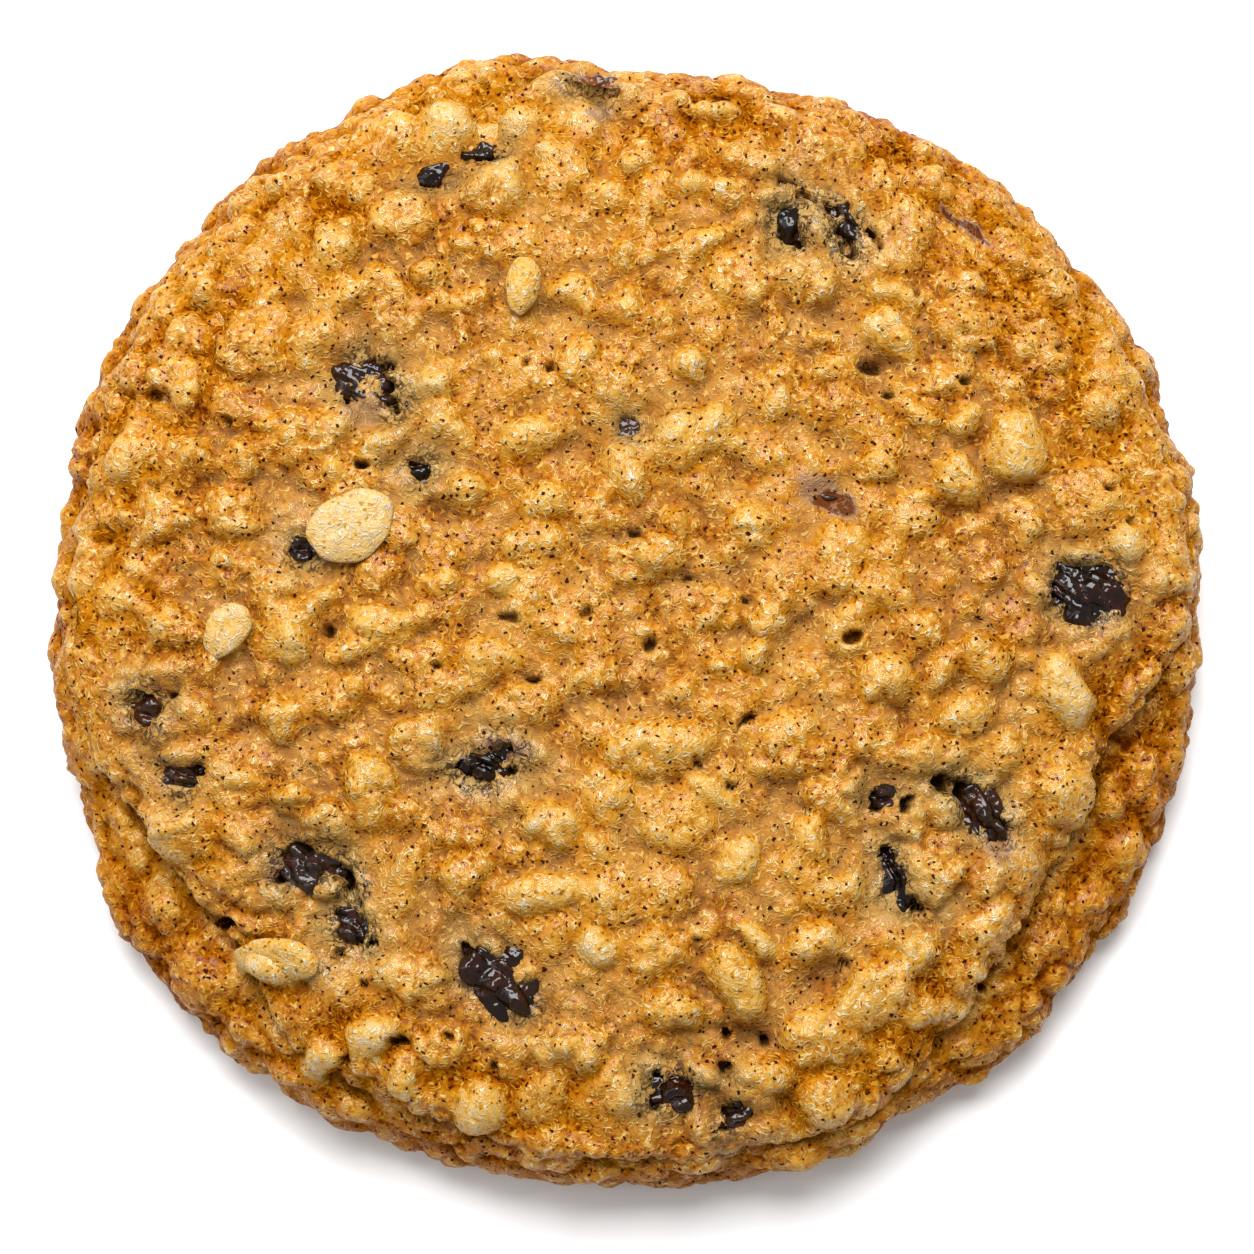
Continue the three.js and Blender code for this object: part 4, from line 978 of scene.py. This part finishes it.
def doughMaterial():
    # One tone from 0 in the gaps to 1 on the palest ridges picks the colour, so the gaps get painted shade; every
    # fine mark moves it.
    # The fine marks lie in a place that is pushed about, so they wander like wrinkles.
    material, tree = newMaterial("bakedDough")
    c, m, w, cover = doughColours, doughMarks, doughTone, doughCover
    place = addNode(tree, "ShaderNodeTexCoord", {}, {}, "Object")
    mask = masksOf(tree, "tone", "pale", "stain", "hole", "cavity", "patch", "browned", "rim", "film", "low",
                   "knob")
    patch, pale = mask["patch"], mask["pale"]
    push, bend = pushed(place, *m["push"]), pushed(place, *m["bend"])
    wander = noise(push, *m["wander"])
    # Fine wrinkles follow the contours of a soft noise and break off where another noise is low. Their paler tone
    # is partly their own colour and partly painted glints.
    swirl = (noise(place, *m["swirl"]) * m["turns"]).sine()
    ridge = ease(swirl, *m["ridge"]) * ease(noise(place, *m["breaks"]), *m["break"])
    # Puffs touch in creases where the dough is knobbly, and painted shade darkens those creases. Dots of all sizes
    # lie in round dimples, painted darker towards each dot as shade.
    puff = ease(cells(bend, m["puffs"], "DISTANCE_TO_EDGE"), *m["puff"])
    crease = (1 - puff) * mask["knob"] * (1 - m["paleCreases"] * pale)
    spots = cells(bend, m["spots"])
    # Darker towards each dot: painted shade in the dimple round it.
    dimple = ease(spots, *m["dimple"])
    marked = 1 - m["paleMarks"] * pale
    dot = ease(spots - ease(spots.other("Color"), *m["dotSize"]), *m["dotEdge"]) * marked
    freckle = ease(noise(place, *m["freckles"]), *m["freckle"]) * marked
    calm = (1 - w["calmRim"] * mask["rim"]) * (1 - w["calmPale"] * pale)
    fine = ridge * w["ridge"] + (wander - 0.5) * w["wander"] - freckle * w["freckle"]
    # The cavity lowers the tone as painted shade in hollows and creases.
    tone = mask["tone"] * w["tone"] + (patch - 0.5) * w["patch"] - mask["cavity"] * w["cavity"]
    tone = tone - ease(mask["browned"], *w["browned"]) + pale * w["pale"] + fine * calm
    # Painted shade: the tone falls in the dimples round the dots and in the creases between puffs.
    tone = tone + dimple * w["dimple"] - crease * w["crease"] - mask["rim"] * w["rim"] + w["base"]
    colour = addNode(tree, "ShaderNodeValToRGB", {"stops": c["tones"]}, {"Fac": tone})
    # Ridges in the valleys are paler, partly as painted glints.
    valley = mixColour(ridge, c["valley"], c["valleyPale"])
    colour = mixColour(ease(mask["low"], *cover["low"]) * ease(patch, *cover["lowPatch"]), colour, valley)
    colour = mixColour(mask["stain"] * ease(patch, *cover["stain"]), colour, c["stain"])
    film = mixColour(ease(mask["film"], *cover["filmPale"]) + ridge * cover["filmRidge"], c["film"], c["filmPale"])
    colour = mixColour(ease(mask["film"], *cover["film"]), colour, film)
    # Strands run where a noise crosses its middle.
    strand = ease((noise(push, *m["strands"]) - 0.5).unsigned(), *m["strand"])
    colour = mixColour(strand * ease(mask["stain"], *cover["line"]), colour, c["line"])
    # Dots, pits and raisin pockets are painted near black as shade inside holes, and have no gloss there.
    dotDark, holeDark = m["darkness"]
    paintedHoleShade = (dot * dotDark).orMore(mask["hole"] * holeDark)
    colour = mixColour(paintedHoleShade, colour, c["hole"])
    base, ridgeLess, rimMore = m["matt"]
    matt = base - ridge * ridgeLess + mask["rim"] * rimMore - ease(mask["cavity"], *cover["shinyRise"])
    dull = paintedHoleShade.orMore(ease(mask["cavity"], *cover["dullHollow"]).orMore(matt))
    ridgeHigh, wanderHigh = m["heights"]
    height = ridge * ridgeHigh + wander * wanderHigh
    finishMaterial(tree, {"Base Color": colour, "Roughness": ease(patch, *m["gloss"]), "IOR": 1.45,
                          "Normal": bumped(height, m["bump"])}, dull)
    return material


raisinColours = {
    "skin": (0.0035, 0.0011, 0.0006, 1),
    "red": (0.024, 0.0035, 0.0006, 1),
    "amber": (0.2, 0.055, 0.006, 1),
    "grey": (0.06, 0.034, 0.028, 1),
}


raisinLook = {
    "patch": (1.6, 3), "fine": (0.5, 3, 0.6), "soft": (0.9, 1, 0.5), "bump": 0.45, "red": (0.48, 0.7, 0, 0.8),
    "amber": (0.3, 0.6, 0.3, 0.9), "grey": (0.35, 0.6, 0.2, 0.9), "gloss": (0.3, 0.7, 0.07, 0.12), "shine": 0.45,
}


def raisinMaterial():
    # Almost black skin, reddish in patches, and amber or grey on some raisins.
    material, tree = newMaterial("raisinSkin")
    c, m = raisinColours, raisinLook
    place = addNode(tree, "ShaderNodeTexCoord", {}, {}, "Object")
    mask = masksOf(tree, "amber", "grey")
    patch = noise(place, *m["patch"])
    colour = mixColour(ease(patch, *m["red"]), c["skin"], c["red"])
    colour = mixColour(mask["amber"] * ease(patch, *m["amber"]), colour, c["amber"])
    colour = mixColour(mask["grey"] * ease(noise(place, *m["fine"]), *m["grey"]), colour, c["grey"])
    finishMaterial(tree, {"Base Color": colour, "Roughness": ease(patch, *m["gloss"]), "IOR": 1.45,
                          "Specular IOR Level": m["shine"], "Normal": bumped(noise(place, *m["soft"]), m["bump"])})
    return material


crust = makeCrust()
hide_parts("cookie")
foot = makeFoot()
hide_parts("cookie")
raisinPiece = makeRaisins()
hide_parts(*("raisin_%02d" % (index + 1) for index in range(len(raisins))))
oats = makeOats()
baked = doughMaterial()
for piece in (crust, foot, oats):
    piece.data.materials.append(baked)
raisinPiece.data.materials.append(raisinMaterial())
print("materials:", [material.name for material in bpy.data.materials])

# A light is its power, size and place.
studio = {
    "floor": 0.9, "floorRough": 0.8, "floorReach": 3.0, "sky": 0.45,
    "lights": {"key": (7.1, 0.44, (-0.03, 0.33, 0.49)), "fill": (1.0, 0.5, (-0.45, 0.1, 0.5))},
}


def addLight(name, power, size, place):
    lamp = bpy.data.lights.new(name, "AREA")
    lamp.energy, lamp.size = power, size
    light = bpy.data.objects.new(name, lamp)
    light.location = place
    x, y, z = place
    light.rotation_euler = (math.atan2(math.hypot(x, y), z), 0, math.atan2(y, x) + math.pi / 2)
    bpy.context.scene.collection.objects.link(light)


def makeStudio():
    mesh = bpy.data.meshes.new("floor")
    side = studio["floorReach"]
    corners = [(-side, -side, 0), (side, -side, 0), (side, side, 0), (-side, side, 0)]
    mesh.from_pydata(corners, [], [(0, 1, 2, 3)])
    floor = bpy.data.objects.new("floor", mesh)
    bpy.context.scene.collection.objects.link(floor)
    material, tree = newMaterial("paleFloor")
    finishMaterial(tree, {"Base Color": (*[studio["floor"]] * 3, 1), "Roughness": studio["floorRough"]})
    mesh.materials.append(material)
    world = bpy.data.worlds.new("studio")
    bpy.context.scene.world = world
    world.use_nodes = True
    world.node_tree.nodes["Background"].inputs["Color"].default_value = (1, 1, 1, 1)
    world.node_tree.nodes["Background"].inputs["Strength"].default_value = studio["sky"]
    for name, light in studio["lights"].items():
        addLight(name, *light)
    print("studio with lights:", list(studio["lights"]))


# The target in millimetres, the tilt up from level in degrees and the distance in metres.
view = {"target": (0.1, -1.45, 4.0), "tilt": 84.5, "away": 0.3606, "lens": 120, "sensor": 36, "nearest": 0.01}


def makeCamera():
    tilt = math.radians(view["tilt"])
    camera = bpy.data.objects.new("camera", bpy.data.cameras.new("camera"))
    camera.data.lens, camera.data.sensor_width = view["lens"], view["sensor"]
    camera.data.clip_start = view["nearest"]
    back = np.array([0, -math.cos(tilt), math.sin(tilt)])
    camera.location = np.array(view["target"]) * millimetre + view["away"] * back
    camera.rotation_euler = (math.pi / 2 - tilt, 0, 0)
    bpy.context.scene.collection.objects.link(camera)
    bpy.context.scene.camera = camera


makeStudio()
makeCamera()
bpy.context.scene.view_settings.view_transform = "Standard"
